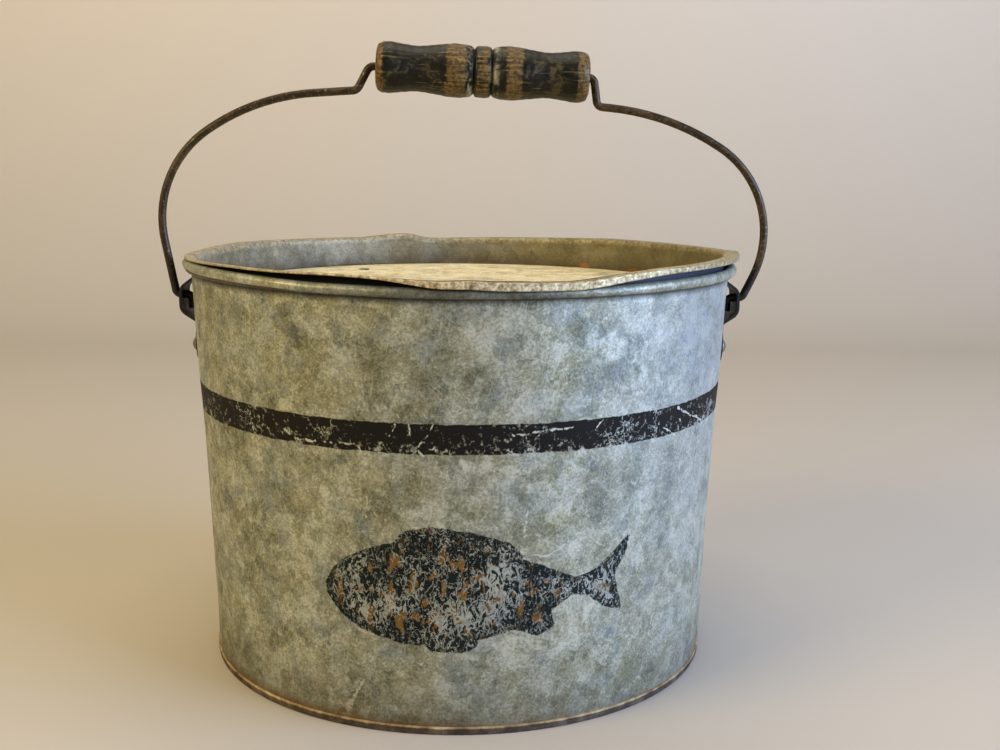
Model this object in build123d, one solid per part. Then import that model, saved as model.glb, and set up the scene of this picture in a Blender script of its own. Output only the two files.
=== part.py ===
from build123d import *
from math import acos, asin, atan2, cos, degrees, hypot, radians, tan
import os

# A galvanised minnow bucket: an outer pail with a wire bail, and a floating inner bucket with a
# sealed air chamber, a perforated basket, a hinged door and its own small bail.
# Sizes are in millimetres. Heights are measured from the floor that the pail stands on.
# X runs along the pivots of the bail, -Y faces the viewer, Z is up.

# Outer pail
rim_radius = 131.0
rim_flare = 12.0
pail_height = 188.0
sheet = 0.7
rim_wire_diameter = 3.0
curl_clearance = 0.05
curl_end_angle = -118.0
seam_clearance = 0.05
chime_height = 3.6
chime_round = 0.12
floor_height = 6.0
floor_bead_inset = 27.0
floor_bead_rise = 1.6
floor_bead_bend = 1.5
floor_edge_bend = 1.2
side_seam_width = 6.0
side_seam_proud = 1.3
side_seam_foot = 2.0
side_seam_end = 1.0
drill_depth = 8.0
butt_gap = 0.01

# Ears of the outer pail
ear_sheet = 1.2
ear_stand_off = 3.5
ear_top_drop = 4.8
pivot_drop = 18.0
ear_rivet_drop = 41.0
ear_rivet_margin = 7.0
ear_tab_width = 27.0
ear_bridge_width = 19.0
ear_corner = 6.0
ear_neck_round = 2.5
bridge_drop = 1.5
bridge_rise = 20.6
bridge_flat = 11.0
bridge_bend = 5.0
ear_foot_bend = 1.5
ear_rivet_spacing = 15.0
ear_rivet_shank = 3.2
ear_rivet_head = 7.2
ear_rivet_dome = 2.2
ear_rivet_tail_gap = 0.08
ear_blank_share = 1.3

# Bail of the outer pail
bail_wire_diameter = 3.8
bail_hole_clearance = 0.5
bail_hook_bend = 2.8
bail_hook_length = 6.6
bail_hook_gap = 0.8
bail_leg_clearance = 0.8
left_leg_rise = 58.8
left_leg_lean = 11.0
left_leg_round = 51.6
left_shoulder_run = 47.4
left_shoulder_rise = 75.5
left_shoulder_round = 101.5
right_leg_rise = 49.0
right_leg_lean = 23.4
right_leg_round = 48.8
right_shoulder_run = 34.6
right_shoulder_rise = 69.4
right_shoulder_round = 119.0
bend_run_share = 0.99
left_crank_round = 3.6
right_crank_round = 3.0
left_crank_lead = 3.3
right_crank_lead = 2.6
left_crank_run = 9.25
left_crank_drop = 9.0
right_crank_run = 4.5
right_crank_drop = 15.3

# Turned wooden grip
grip_length = 100.0
grip_offset = 9.6
grip_rise = 87.9
grip_tilt = 2.28
grip_bore_clearance = 0.35
grip_ring_radius = 11.9
grip_ring_crown = 0.35
grip_ring_half_width = 3.4
grip_groove_depth = 0.9
grip_groove_half_width = 0.8
grip_bulge_radius = 12.45
grip_bulge_place = 13.0
grip_waist_radius = 10.4
grip_waist_place = 31.0
grip_end_radius = 11.75
grip_end_round = 5.0
grip_end_drop = 3.5

# Floating inner bucket
insert_gap = 1.5
hem_stand = 2.8
hem_seat_gap = 0.25
hem_return = 2.6
hem_bend = 0.85
collar_bend = 1.3
deck_sink = 16.3
deck_flange = 7.0
deck_bend = 1.2
float_depth = 42.5
collar_lap = 7.5
basket_depth = 94.0
basket_top_gap = 0.3
basket_flange = 6.0
perforation = 6.5
perforation_sides = 8
wall_rows = 4
wall_row_spacing = 18.0
wall_holes_per_row = 24
wall_first_row_rise = 18.0
floor_rings = 4
floor_ring_spacing = 22.0

# Door in the deck
door_width = 104.0
door_length = 62.0
door_corner = 8.0
door_lap_side = 5.0
door_lap_front = 4.0
door_lap_hinge = 3.0
door_running_gap = 0.3
door_emboss = 1.2
door_emboss_draft = 25.0
door_emboss_margin = 9.0
door_emboss_corner = 4.0
door_emboss_hinge_gap = 3.0
door_pull_width = 34.0
door_pull_height = 5.0
door_vent = 4.0
door_vent_columns = 5
door_vent_rows = 2
door_vent_spacing = 14.0
door_hinge_y = -8.0
knuckle_radius = 1.8
hinge_pin_diameter = 1.8
hinge_pin_clearance = 0.06
hinge_length = 66.0
hinge_leaf_width = 9.0
hinge_leaf_sheet = 0.8
hinge_leaf_gap = 0.3
hinge_web_lap = 1.0
knuckle_seat_gap = 0.05
knuckle_gap = 0.4
small_rivet_shank = 2.4
small_rivet_head = 4.6
small_rivet_dome = 1.1
small_rivet_tail_gap = 0.02
rivet_tail_share = 0.84
throat_sheet = 0.7
catch_width = 16.0
catch_depth = 8.0
catch_foot = 6.0
catch_sheet = 0.5
catch_setback = 3.2

# Bail of the inner bucket
insert_wire_diameter = 3.0
insert_pivot_rise = 4.2
insert_bail_door_gap = 2.5
insert_bail_leg_gap = 3.7
insert_bail_leg_length = 40.0
insert_bail_shoulder_run = 33.5
insert_bail_round = 48.0
insert_hook_bend = 2.4
insert_hook_length = 5.0
insert_hook_out = 8.6
lug_inset = 12.6
lug_sheet = 1.2
lug_width = 12.0
lug_rise = 7.6
lug_corner = 3.0
lug_shoulder = 4.0
lug_foot = 9.5
lug_rivet_out = 5.4
lug_rivet_spacing = 6.8
lug_hole_clearance = 0.4

# Worked out from the sizes above
base_radius = rim_radius - rim_flare
bead_inner = rim_wire_diameter / 2 + curl_clearance
bead_outer = bead_inner + sheet
bead_x = rim_radius - bead_outer
bead_z = pail_height - bead_outer
bead_distance = hypot(bead_x - base_radius, bead_z)
taper = acos(bead_inner / bead_distance) - atan2(bead_z, bead_x - base_radius)
wall_thick = sheet / cos(taper)
ear_reach = rim_radius + ear_stand_off
ear_top = pail_height - ear_top_drop
pivot_height = pail_height - pivot_drop
ear_rivet_height = pail_height - ear_rivet_drop
grip_height = pail_height + grip_rise
hem_top = pail_height + hem_stand
deck_height = hem_top - deck_sink
float_floor_height = deck_height - float_depth
collar_bottom = float_floor_height - collar_lap
basket_bottom_height = float_floor_height - basket_depth
hinge_axis_z = deck_height + knuckle_radius + knuckle_seat_gap
hinge_plate_start = knuckle_radius + hinge_leaf_gap
door_under = deck_height + door_running_gap
insert_pivot_height = deck_height + insert_pivot_rise
insert_bail_reach = door_length - door_hinge_y + insert_wire_diameter / 2 + insert_bail_door_gap
insert_bail_fall = insert_pivot_rise - insert_wire_diameter / 2 - door_running_gap
insert_bail_droop = degrees(asin(insert_bail_fall / insert_bail_reach))


def wall_radius(z):
    """Outside radius of the pail's tapered wall at a height."""
    return base_radius + z * tan(taper)


def collar_radius(z):
    """Outside radius of the inner bucket's wall at a height."""
    return wall_radius(z) - wall_thick - insert_gap


def basket_radius(z):
    """Outside radius of the basket, which laps inside the foot of the collar."""
    return collar_radius(z) - wall_thick - seam_clearance


lug_x = collar_radius(deck_height) - wall_thick - lug_inset
insert_bail_leg_x = lug_x - insert_bail_leg_gap
insert_bail_top_half = insert_bail_leg_x - insert_bail_shoulder_run


def turn_sign(before, at, after):
    """1 where a path turns left at a point, -1 where it turns right."""
    cross = (at[0] - before[0]) * (after[1] - at[1]) - (at[1] - before[1]) * (after[0] - at[0])
    return 1 if cross > 0 else -1


def shifted(points, distance):
    """The corners of a path moved to its left by a distance, mitred at each corner."""
    directions = []
    for start, end in zip(points, points[1:]):
        run = hypot(end[0] - start[0], end[1] - start[1])
        directions.append(((end[0] - start[0]) / run, (end[1] - start[1]) / run))
    befores = [directions[0]] + directions
    afters = directions + [directions[-1]]
    moved = []
    for point, before, after in zip(points, befores, afters):
        normal = (-before[1] - after[1], before[0] + after[0])
        reach = distance * 2 / (normal[0] ** 2 + normal[1] ** 2)
        moved.append((point[0] + normal[0] * reach, point[1] + normal[1] * reach))
    return moved


def bent_line(points, radii):
    """A path through the points in the XZ plane, with its corners rounded."""
    places = [(x, 0, z) for x, z in points]
    if len(places) == 2:
        return Line(*places)
    return FilletPolyline(*places, radius=radii)


def tightened(points, radii):
    """Bend radii of a wire, each cut back where the bends at both ends of a straight run would meet."""
    reaches = [0.0]
    for before, at, after, radius in zip(points, points[1:], points[2:], radii):
        turn = atan2(after[1] - at[1], after[0] - at[0]) - atan2(at[1] - before[1], at[0] - before[0])
        reaches.append(radius * abs(tan(turn / 2)))
    reaches.append(0.0)
    shares = [1.0] * len(reaches)
    for end in range(1, len(points)):
        start = end - 1
        run = hypot(points[end][0] - points[start][0], points[end][1] - points[start][1])
        share = min(1.0, bend_run_share * run / (reaches[start] + reaches[end]))
        shares[start] = min(shares[start], share)
        shares[end] = min(shares[end], share)
    return [radius * share for radius, share in zip(radii, shares[1:])]


def sheet_profile(points, thickness, bends):
    """Cross-section of a bent sheet in the XZ plane, from its middle line and its bend radii."""
    turns = [turn_sign(*corner) for corner in zip(points, points[1:], points[2:])]
    half = thickness / 2
    left = bent_line(shifted(points, half), [bend - turn * half for bend, turn in zip(bends, turns)])
    right = bent_line(shifted(points, -half), [bend + turn * half for bend, turn in zip(bends, turns)])
    ends = [Line(left @ 0, right @ 0), Line(left @ 1, right @ 1)]
    return make_face(left.edges() + right.edges() + ends[0].edges() + ends[1].edges())


def turned(profile):
    """A full turn of a profile about the upright axis."""
    return revolve(profile, axis=Axis.Z)


def mirrored(shape):
    """The same piece on the left side."""
    return mirror(shape, about=Plane.YZ)


def rivet(shank, head, dome, grip, tail_gap):
    """A round-head rivet along +Z, with its head on z = 0 and its flat tail under the sheets."""
    tail_top = -grip - tail_gap
    tail = Pos(0, 0, tail_top - dome / 4) * Cylinder(head * rivet_tail_share / 2, dome / 2)
    stem = Pos(0, 0, tail_top / 2) * Cylinder(shank / 2, -tail_top)
    ball_radius = (head**2 / 4 + dome**2) / (2 * dome)
    ball = Pos(0, 0, dome - ball_radius) * Sphere(ball_radius)
    cap = ball & Pos(0, 0, dome / 2) * Cylinder(head, dome)
    return cap + stem + tail


def pail_wall():
    """Tapered wall, curled outwards round the rim wire, with a folded side seam at the back."""
    start = 180 - degrees(taper)
    sweep = curl_end_angle - start
    centre = (bead_x, 0, bead_z)
    plane = Plane(origin=centre, x_dir=(1, 0, 0), z_dir=(0, -1, 0))
    inner = plane * CenterArc((0, 0), bead_inner, start, sweep)
    outer = plane * CenterArc((0, 0), bead_outer, start, sweep)
    foot = sheet + chime_round + seam_clearance
    outside_foot = (wall_radius(foot), 0, foot)
    inside_foot = (wall_radius(foot) - wall_thick, 0, foot)
    profile = make_face(
        [
            Line(outside_foot, inner @ 0),
            inner,
            Line(inner @ 1, outer @ 1),
            outer,
            Line(outer @ 0, inside_foot),
            Line(inside_foot, outside_foot),
        ]
    )
    wall = turned(profile)
    wall += side_seam()
    for side in (1, -1):
        for place in ear_rivet_places(side):
            wall -= place * Cylinder(ear_rivet_shank / 2 + seam_clearance, drill_depth)
    return wall


def side_seam():
    """The folded lock seam, a flat upright rib on the back of the wall."""
    low = chime_height + side_seam_foot
    high = bead_z - bead_outer - side_seam_end
    sink = sheet / 2
    rib = make_face(
        Polyline(
            (wall_radius(low) - sink, 0, low),
            (wall_radius(low) + side_seam_proud, 0, low),
            (wall_radius(high) + side_seam_proud, 0, high),
            (wall_radius(high) - sink, 0, high),
            close=True,
        ).edges()
    )
    width = degrees(side_seam_width / base_radius)
    return Rot(0, 0, 90 - width / 2) * revolve(rib, axis=Axis.Z, revolution_arc=width)


def rim_wire():
    """The round wire that stiffens the rim, inside the curl."""
    return Pos(0, 0, bead_z) * Torus(bead_x, rim_wire_diameter / 2)


def pail_bottom():
    """Recessed floor with a pressed bead, its edge folded round the foot of the wall."""
    half = sheet / 2
    inside = wall_radius(0) - wall_thick - seam_clearance - half
    outside = wall_radius(0) + seam_clearance + half
    lean = tan(taper)
    middle = floor_height + half
    floor_bead_radius = base_radius - floor_bead_inset
    path = [
        (0, middle + floor_bead_rise),
        (floor_bead_radius - floor_bead_rise, middle + floor_bead_rise),
        (floor_bead_radius, middle),
        (inside + middle * lean, middle),
        (inside + half * lean, half),
        (outside + half * lean, half),
        (outside + chime_height * lean, chime_height),
    ]
    fold = half + chime_round
    bends = [floor_bead_bend, floor_bead_bend, floor_edge_bend, fold, fold]
    return turned(sheet_profile(path, sheet, bends))


def ear_rivet_places(side):
    """Frames on the outside of one ear's tab, with Z along each rivet."""
    places = []
    reach = wall_radius(ear_rivet_height) + ear_sheet / cos(taper)
    swing = degrees(ear_rivet_spacing / 2 / reach)
    for turn in (-swing, swing):
        heading = (0 if side > 0 else 180) + turn
        places.append(Rot(0, 0, heading) * Pos(reach, 0, ear_rivet_height) * Rot(0, 90 + degrees(taper), 0))
    return places


def right_ear():
    """A bridge ear stamped from thick sheet: a riveted tab, a raised bridge and a short upper foot."""
    half = ear_sheet / 2
    bridge_x = ear_reach - half
    seat = half / cos(taper)
    ear_bottom = ear_rivet_height - ear_rivet_margin
    bridge_middle = pivot_height - bridge_drop
    ear_tab_top = bridge_middle - bridge_rise / 2
    ear_upper_foot = bridge_middle + bridge_rise / 2
    path = [
        (wall_radius(ear_bottom) + seat, ear_bottom),
        (wall_radius(ear_tab_top) + seat, ear_tab_top),
        (bridge_x, bridge_middle - bridge_flat / 2),
        (bridge_x, bridge_middle + bridge_flat / 2),
        (wall_radius(ear_upper_foot) + seat, ear_upper_foot),
        (wall_radius(ear_top) + seat, ear_top),
    ]
    bends = [ear_foot_bend, bridge_bend, bridge_bend, ear_foot_bend]
    profile = sheet_profile(path, ear_sheet, bends)
    arc = degrees(ear_tab_width * ear_blank_share / base_radius)
    blank = Rot(0, 0, -arc / 2) * revolve(profile, axis=Axis.Z, revolution_arc=arc)
    ear = blank & ear_outline()
    ear -= Pos(ear_reach, 0, pivot_height) * Rot(0, 90, 0) * Cylinder(
        bail_wire_diameter / 2 + bail_hole_clearance, drill_depth
    )
    for place in ear_rivet_places(1):
        ear -= place * Cylinder(ear_rivet_shank / 2 + seam_clearance, drill_depth)
    return ear


def ear_outline():
    """The stamped outline of an ear, seen square on, as a long prism along X."""
    tab = Pos(0, ear_rivet_height) * RectangleRounded(ear_tab_width, 2 * ear_rivet_margin, ear_corner)
    neck_length = 2 * (ear_top - ear_rivet_height)
    neck = Pos(0, ear_rivet_height + neck_length / 2) * Rectangle(ear_bridge_width, neck_length)
    outline = tab + neck
    neck_side = ear_bridge_width / 2
    necks = [v for v in outline.vertices() if abs(abs(v.X) - neck_side) < 0.01 and v.Y < ear_top]
    outline = fillet(necks, ear_neck_round)
    facing = Plane(origin=(0, 0, 0), x_dir=(0, 1, 0), z_dir=(1, 0, 0))
    return extrude(facing * outline, amount=2 * ear_reach)


def ear_rivets(side):
    """The two rivets that hold one ear."""
    grip = ear_sheet + sheet
    rivets = []
    for place in ear_rivet_places(side):
        one = rivet(ear_rivet_shank, ear_rivet_head, ear_rivet_dome, grip, ear_rivet_tail_gap)
        rivets.append(place * one)
    return Compound(children=rivets)


def grip_axis_height(x):
    """Height of the tilted grip's axis at a place along X."""
    return grip_height - (x - grip_offset) * tan(radians(grip_tilt))


def bail_wire():
    """The bail: hooked ends in the ears, bowed legs, uneven shoulders and a cranked grip seat."""
    tail_x = ear_reach - ear_sheet - bail_hook_gap - bail_hook_bend
    leg_x = ear_reach + bail_leg_clearance + bail_wire_diameter / 2
    hook_end = pivot_height - bail_hook_length
    half_grip = grip_length / 2 * cos(radians(grip_tilt))
    left_end = grip_offset - half_grip
    right_end = grip_offset + half_grip
    left_foot = left_end - left_crank_run
    right_foot = right_end + right_crank_run
    left_top = left_end - left_crank_lead
    right_top = right_end + right_crank_lead
    path = [
        (-tail_x, hook_end),
        (-tail_x, pivot_height),
        (-leg_x, pivot_height),
        (-leg_x - left_leg_lean, pivot_height + left_leg_rise),
        (left_foot - left_shoulder_run, pail_height + left_shoulder_rise),
        (left_foot, grip_height - left_crank_drop),
        (left_top, grip_axis_height(left_top)),
        (right_top, grip_axis_height(right_top)),
        (right_foot, grip_height - right_crank_drop),
        (right_foot + right_shoulder_run, pail_height + right_shoulder_rise),
        (leg_x + right_leg_lean, pivot_height + right_leg_rise),
        (leg_x, pivot_height),
        (tail_x, pivot_height),
        (tail_x, hook_end),
    ]
    radii = [
        bail_hook_bend,
        bail_hook_bend,
        left_leg_round,
        left_shoulder_round,
        left_crank_round,
        left_crank_round,
        right_crank_round,
        right_crank_round,
        right_shoulder_round,
        right_leg_round,
        bail_hook_bend,
        bail_hook_bend,
    ]
    line = bent_line(path, tightened(path, radii))
    section = Plane(origin=line @ 0, z_dir=line % 0) * Circle(bail_wire_diameter / 2)
    return sweep(section, path=line)


def wood_grip():
    """Turned grip: a centre ring between two grooves, two swells, two waists and rounded ends."""
    half = grip_length / 2
    bore = bail_wire_diameter / 2 + grip_bore_clearance
    ring_edge = grip_ring_radius - grip_ring_crown
    groove_centre = grip_ring_half_width + grip_groove_half_width
    groove_end = groove_centre + grip_groove_half_width
    end_crest = half - grip_end_round
    mid_rise = (grip_bulge_radius + grip_waist_radius) / 2
    swell = Spline(
        (groove_end, ring_edge),
        (grip_bulge_place, grip_bulge_radius),
        ((grip_bulge_place + grip_waist_place) / 2, mid_rise),
        (grip_waist_place, grip_waist_radius),
        (end_crest, grip_end_radius),
    )
    corner_radius = grip_end_radius - grip_end_drop
    one_side = [
        Line((grip_ring_half_width, ring_edge), (groove_centre, ring_edge - grip_groove_depth)),
        Line((groove_centre, ring_edge - grip_groove_depth), (groove_end, ring_edge)),
        swell,
        TangentArc((end_crest, grip_end_radius), (half, corner_radius), tangent=(1, 0)),
        Line((half, corner_radius), (half, bore)),
    ]
    other_side = [mirror(line, about=Plane.YZ) for line in one_side]
    ring = ThreePointArc((-grip_ring_half_width, ring_edge), (0, grip_ring_radius), (grip_ring_half_width, ring_edge))
    profile = make_face(one_side + other_side + [ring, Line((-half, bore), (half, bore))])
    turned_wood = revolve(profile, axis=Axis.X)
    return Pos(grip_offset, 0, grip_height) * Rot(0, grip_tilt, 0) * turned_wood


def insert_collar():
    """Upper wall of the inner bucket, with a folded hem that sits on the pail's rim."""
    half = sheet / 2
    hem_z = hem_top - half
    hem_x = rim_radius - half
    under_z = pail_height + hem_seat_gap + half
    path = [
        (collar_radius(collar_bottom) - wall_thick / 2, collar_bottom),
        (collar_radius(hem_z) - wall_thick / 2, hem_z),
        (hem_x, hem_z),
        (hem_x, under_z),
        (hem_x - hem_return, under_z),
    ]
    return turned(sheet_profile(path, sheet, [collar_bend, hem_bend, hem_bend]))


def flanged_disc(top, flange, turn):
    """A flat disc with its edge turned up (1) or down (-1) against the inside of the collar."""
    half = sheet / 2
    z = top - half
    inside = wall_thick + seam_clearance + half
    path = [
        (0, z),
        (collar_radius(z) - inside, z),
        (collar_radius(z + turn * flange) - inside, z + turn * flange),
    ]
    return turned(sheet_profile(path, sheet, [deck_bend]))


def opening_box(grow, low, high):
    """A rounded block the shape of the door's opening, grown all round by a distance."""
    width = door_width - 2 * door_lap_side
    back = door_hinge_y - door_lap_hinge
    front = door_hinge_y - door_length + door_lap_front
    outline = RectangleRounded(width + 2 * grow, back - front + 2 * grow, door_corner - door_lap_front + grow)
    return Pos(0, (front + back) / 2, low) * extrude(outline, amount=high - low)


def deck_plate():
    """The sunk deck of the inner bucket, with the door's opening."""
    deck = flanged_disc(deck_height, deck_flange, -1)
    deck -= opening_box(0, deck_height - drill_depth / 2, deck_height + drill_depth / 2)
    for place in deck_rivet_places() + lug_rivet_places():
        deck -= place * Cylinder(small_rivet_shank / 2 + seam_clearance, drill_depth)
    return deck


def float_throat():
    """The shaft from the door down to the basket, through the air chamber."""
    low = float_floor_height - sheet
    high = deck_height - sheet - butt_gap
    return opening_box(throat_sheet, low, high) - opening_box(0, low - drill_depth, high + drill_depth)


def float_floor():
    """The floor of the air chamber, round the throat."""
    plate = flanged_disc(float_floor_height, deck_flange, 1)
    low = float_floor_height - drill_depth / 2
    return plate - opening_box(throat_sheet + seam_clearance, low, low + drill_depth)


def basket_wall():
    """The basket's wall, with rows of punched holes."""
    low = basket_bottom_height - sheet
    high = float_floor_height - sheet - basket_top_gap
    path = [
        (basket_radius(low) - wall_thick / 2, low),
        (basket_radius(high) - wall_thick / 2, high),
    ]
    wall = turned(sheet_profile(path, sheet, []))
    pitch = 360 / wall_holes_per_row
    punch = Rot(0, 90, 0) * perforating_punch()
    punches = []
    for row in range(wall_rows):
        stagger = pitch / 2 * (row % 2)
        z = basket_bottom_height + wall_first_row_rise + row * wall_row_spacing
        for hole in range(wall_holes_per_row):
            punches.append(Rot(0, 0, hole * pitch + stagger) * Pos(basket_radius(z), 0, z) * punch)
    return wall - punches


def perforating_punch():
    """An eight-sided punch for the basket's holes, centred on the sheet that it cuts."""
    side = RegularPolygon(perforation / 2, perforation_sides)
    return Pos(0, 0, -drill_depth / 2) * extrude(side, amount=drill_depth)


def basket_bottom():
    """The basket's floor, punched with rings of holes, its edge turned up inside the wall."""
    half = sheet / 2
    z = basket_bottom_height - half
    inside = wall_thick + seam_clearance + half
    path = [
        (0, z),
        (basket_radius(z) - inside, z),
        (basket_radius(z + basket_flange) - inside, z + basket_flange),
    ]
    plate = turned(sheet_profile(path, sheet, [deck_bend]))
    punch = perforating_punch()
    punches = [Pos(0, 0, z) * punch]
    for ring in range(1, floor_rings + 1):
        count = 6 * ring
        stagger = 180 / count * (ring % 2)
        for hole in range(count):
            punches.append(Rot(0, 0, hole * 360 / count + stagger) * Pos(ring * floor_ring_spacing, 0, z) * punch)
    return plate - punches


def hinge_leaf(side, spans):
    """One leaf of the door's hinge: a flat plate and its knuckles. Side 1 lies behind the pin."""
    low = deck_height if side > 0 else door_under + sheet
    plate_centre = door_hinge_y + side * (hinge_plate_start + hinge_leaf_width / 2)
    web_width = hinge_plate_start + hinge_web_lap
    leaf = Pos(0, plate_centre, low + hinge_leaf_sheet / 2) * Box(hinge_length, hinge_leaf_width, hinge_leaf_sheet)
    for start, end in spans:
        middle = (start + end) / 2
        barrel = Pos(middle, door_hinge_y, hinge_axis_z) * Rot(0, 90, 0) * Cylinder(knuckle_radius, end - start)
        web_y = door_hinge_y + side * web_width / 2
        web = Pos(middle, web_y, low + hinge_leaf_sheet / 2) * Box(end - start, web_width, hinge_leaf_sheet)
        leaf += barrel + web
    bore = Rot(0, 90, 0) * Cylinder(hinge_pin_diameter / 2 + hinge_pin_clearance, hinge_length * 2)
    return leaf - Pos(0, door_hinge_y, hinge_axis_z) * bore


def knuckle_spans():
    """The stretches of the hinge along X: outer knuckles on the deck, the middle one on the door."""
    half = hinge_length / 2
    third = hinge_length / 6
    outer = [(-half, -third - knuckle_gap / 2), (third + knuckle_gap / 2, half)]
    inner = [(-third + knuckle_gap / 2, third - knuckle_gap / 2)]
    return outer, inner


def deck_rivet_places():
    """Frames on top of the deck's hinge leaf, one for each rivet."""
    y = door_hinge_y + hinge_plate_start + hinge_leaf_width / 2
    z = deck_height + hinge_leaf_sheet
    return [Pos(x * hinge_length / 3, y, z) for x in (-1, 0, 1)]


def door_rivet_places():
    """Frames on top of the door's hinge leaf, one for each rivet."""
    y = door_hinge_y - hinge_plate_start - hinge_leaf_width / 2
    z = door_under + sheet + hinge_leaf_sheet
    return [Pos(x * hinge_length / 3, y, z) for x in (-1, 0, 1)]


def small_rivets(places, grip):
    """A group of small round-head rivets."""
    one = rivet(small_rivet_shank, small_rivet_head, small_rivet_dome, grip, small_rivet_tail_gap)
    return Compound(children=[place * one for place in places])


def hinge_pin():
    """The door's hinge pin."""
    return Pos(0, door_hinge_y, hinge_axis_z) * Rot(0, 90, 0) * Cylinder(hinge_pin_diameter / 2, hinge_length)


def door_panel():
    """The door: a flat sheet with a raised field, air holes and a turned-up finger lip."""
    back = door_hinge_y - hinge_plate_start
    front = door_hinge_y - door_length
    length = back - front
    middle = (front + back) / 2
    outline = RectangleRounded(door_width, length, door_corner)
    panel = Pos(0, middle, door_under) * extrude(outline, amount=sheet)
    field_width = door_width - 2 * door_emboss_margin
    field_length = length - door_emboss_margin - hinge_leaf_width - door_emboss_hinge_gap
    field_middle = front + door_emboss_margin + field_length / 2
    field = RectangleRounded(field_width, field_length, door_emboss_corner)
    panel += Pos(0, field_middle, door_under) * extrude(field, amount=sheet + door_emboss, taper=door_emboss_draft)
    recess = RectangleRounded(field_width - 2 * sheet, field_length - 2 * sheet, door_emboss_corner - sheet)
    panel -= Pos(0, field_middle, door_under) * extrude(recess, amount=door_emboss, taper=door_emboss_draft)
    for column in range(door_vent_columns):
        for row in range(door_vent_rows):
            x = (column - (door_vent_columns - 1) / 2) * door_vent_spacing
            y = field_middle + (row - (door_vent_rows - 1) / 2) * door_vent_spacing
            panel -= Pos(x, y, door_under) * Cylinder(door_vent / 2, drill_depth)
    lip_height = door_pull_height + sheet
    lip = Pos(0, front + sheet / 2, door_under + lip_height / 2) * Box(door_pull_width, sheet, lip_height)
    panel += lip
    for place in door_rivet_places():
        panel -= place * Cylinder(small_rivet_shank / 2 + seam_clearance, drill_depth)
    return panel


def door_catch():
    """A spring strip under the door that drops inside the opening's front edge."""
    y = door_hinge_y - door_length + door_lap_front + catch_setback
    top = door_under - butt_gap
    foot = Pos(0, y + catch_foot / 2, top - catch_sheet / 2) * Box(catch_width, catch_foot, catch_sheet)
    tongue = Pos(0, y + catch_sheet / 2, top - catch_depth / 2) * Box(catch_width, catch_sheet, catch_depth)
    return foot + tongue


def right_lug():
    """The bracket on the deck that holds one end of the inner bail: a foot and an upright tab."""
    tab = Pos(0, lug_rise / 2) * RectangleRounded(lug_width, lug_rise, lug_corner)
    tab += Pos(0, lug_shoulder / 2) * Rectangle(lug_width, lug_shoulder)
    facing = Plane(origin=(lug_x, 0, deck_height), x_dir=(0, 1, 0), z_dir=(1, 0, 0))
    upright = extrude(facing * tab, amount=lug_sheet)
    foot = Pos(lug_x + lug_foot / 2, 0, deck_height + lug_sheet / 2) * Box(lug_foot, lug_width, lug_sheet)
    lug = upright + foot
    lug -= Pos(lug_x, 0, insert_pivot_height) * Rot(0, 90, 0) * Cylinder(
        insert_wire_diameter / 2 + lug_hole_clearance, drill_depth
    )
    for place in lug_rivet_places()[:2]:
        lug -= place * Cylinder(small_rivet_shank / 2 + seam_clearance, drill_depth)
    return lug


def lug_rivet_places():
    """Frames on top of the lugs' feet: two rivets on the right, then two on the left."""
    z = deck_height + lug_sheet
    x = lug_x + lug_sheet + lug_rivet_out
    y = lug_rivet_spacing / 2
    return [Pos(side * x, turn * y, z) for side in (1, -1) for turn in (1, -1)]


def insert_bail_wire():
    """The low bail of the inner bucket, folded forwards onto the deck."""
    tail_x = lug_x + lug_sheet + insert_hook_out - insert_hook_bend
    path = [
        (-tail_x, insert_hook_length),
        (-tail_x, 0),
        (-insert_bail_leg_x, 0),
        (-insert_bail_leg_x, insert_bail_leg_length),
        (-insert_bail_top_half, insert_bail_reach),
        (insert_bail_top_half, insert_bail_reach),
        (insert_bail_leg_x, insert_bail_leg_length),
        (insert_bail_leg_x, 0),
        (tail_x, 0),
        (tail_x, insert_hook_length),
    ]
    radii = [insert_hook_bend, insert_hook_bend] + [insert_bail_round] * 4 + [insert_hook_bend] * 2
    line = bent_line(path, radii)
    section = Plane(origin=line @ 0, z_dir=line % 0) * Circle(insert_wire_diameter / 2)
    upright = sweep(section, path=line)
    return Pos(0, 0, insert_pivot_height) * Rot(90 + insert_bail_droop, 0, 0) * upright


def all_nodes():
    """Every piece of the bucket under its name."""
    outer_spans, inner_spans = knuckle_spans()
    ear = right_ear()
    lug = right_lug()
    leaf_grip = sheet + hinge_leaf_sheet
    return {
        "pail_wall": pail_wall(),
        "rim_wire": rim_wire(),
        "pail_bottom": pail_bottom(),
        "ear_right": ear,
        "ear_left": mirrored(ear),
        "ear_rivets_right": ear_rivets(1),
        "ear_rivets_left": ear_rivets(-1),
        "bail_wire": bail_wire(),
        "wood_grip": wood_grip(),
        "insert_collar": insert_collar(),
        "deck_plate": deck_plate(),
        "float_throat": float_throat(),
        "float_floor": float_floor(),
        "basket_wall": basket_wall(),
        "basket_bottom": basket_bottom(),
        "deck_hinge_leaf": hinge_leaf_with_holes(1, outer_spans, deck_rivet_places()),
        "deck_hinge_rivets": small_rivets(deck_rivet_places(), leaf_grip),
        "bail_lug_right": lug,
        "bail_lug_left": mirrored(lug),
        "bail_lug_rivets": small_rivets(lug_rivet_places(), lug_sheet + sheet),
        "door_panel": door_panel(),
        "door_hinge_leaf": hinge_leaf_with_holes(-1, inner_spans, door_rivet_places()),
        "door_hinge_rivets": small_rivets(door_rivet_places(), leaf_grip),
        "hinge_pin": hinge_pin(),
        "door_catch": door_catch(),
        "insert_bail_wire": insert_bail_wire(),
    }


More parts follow.
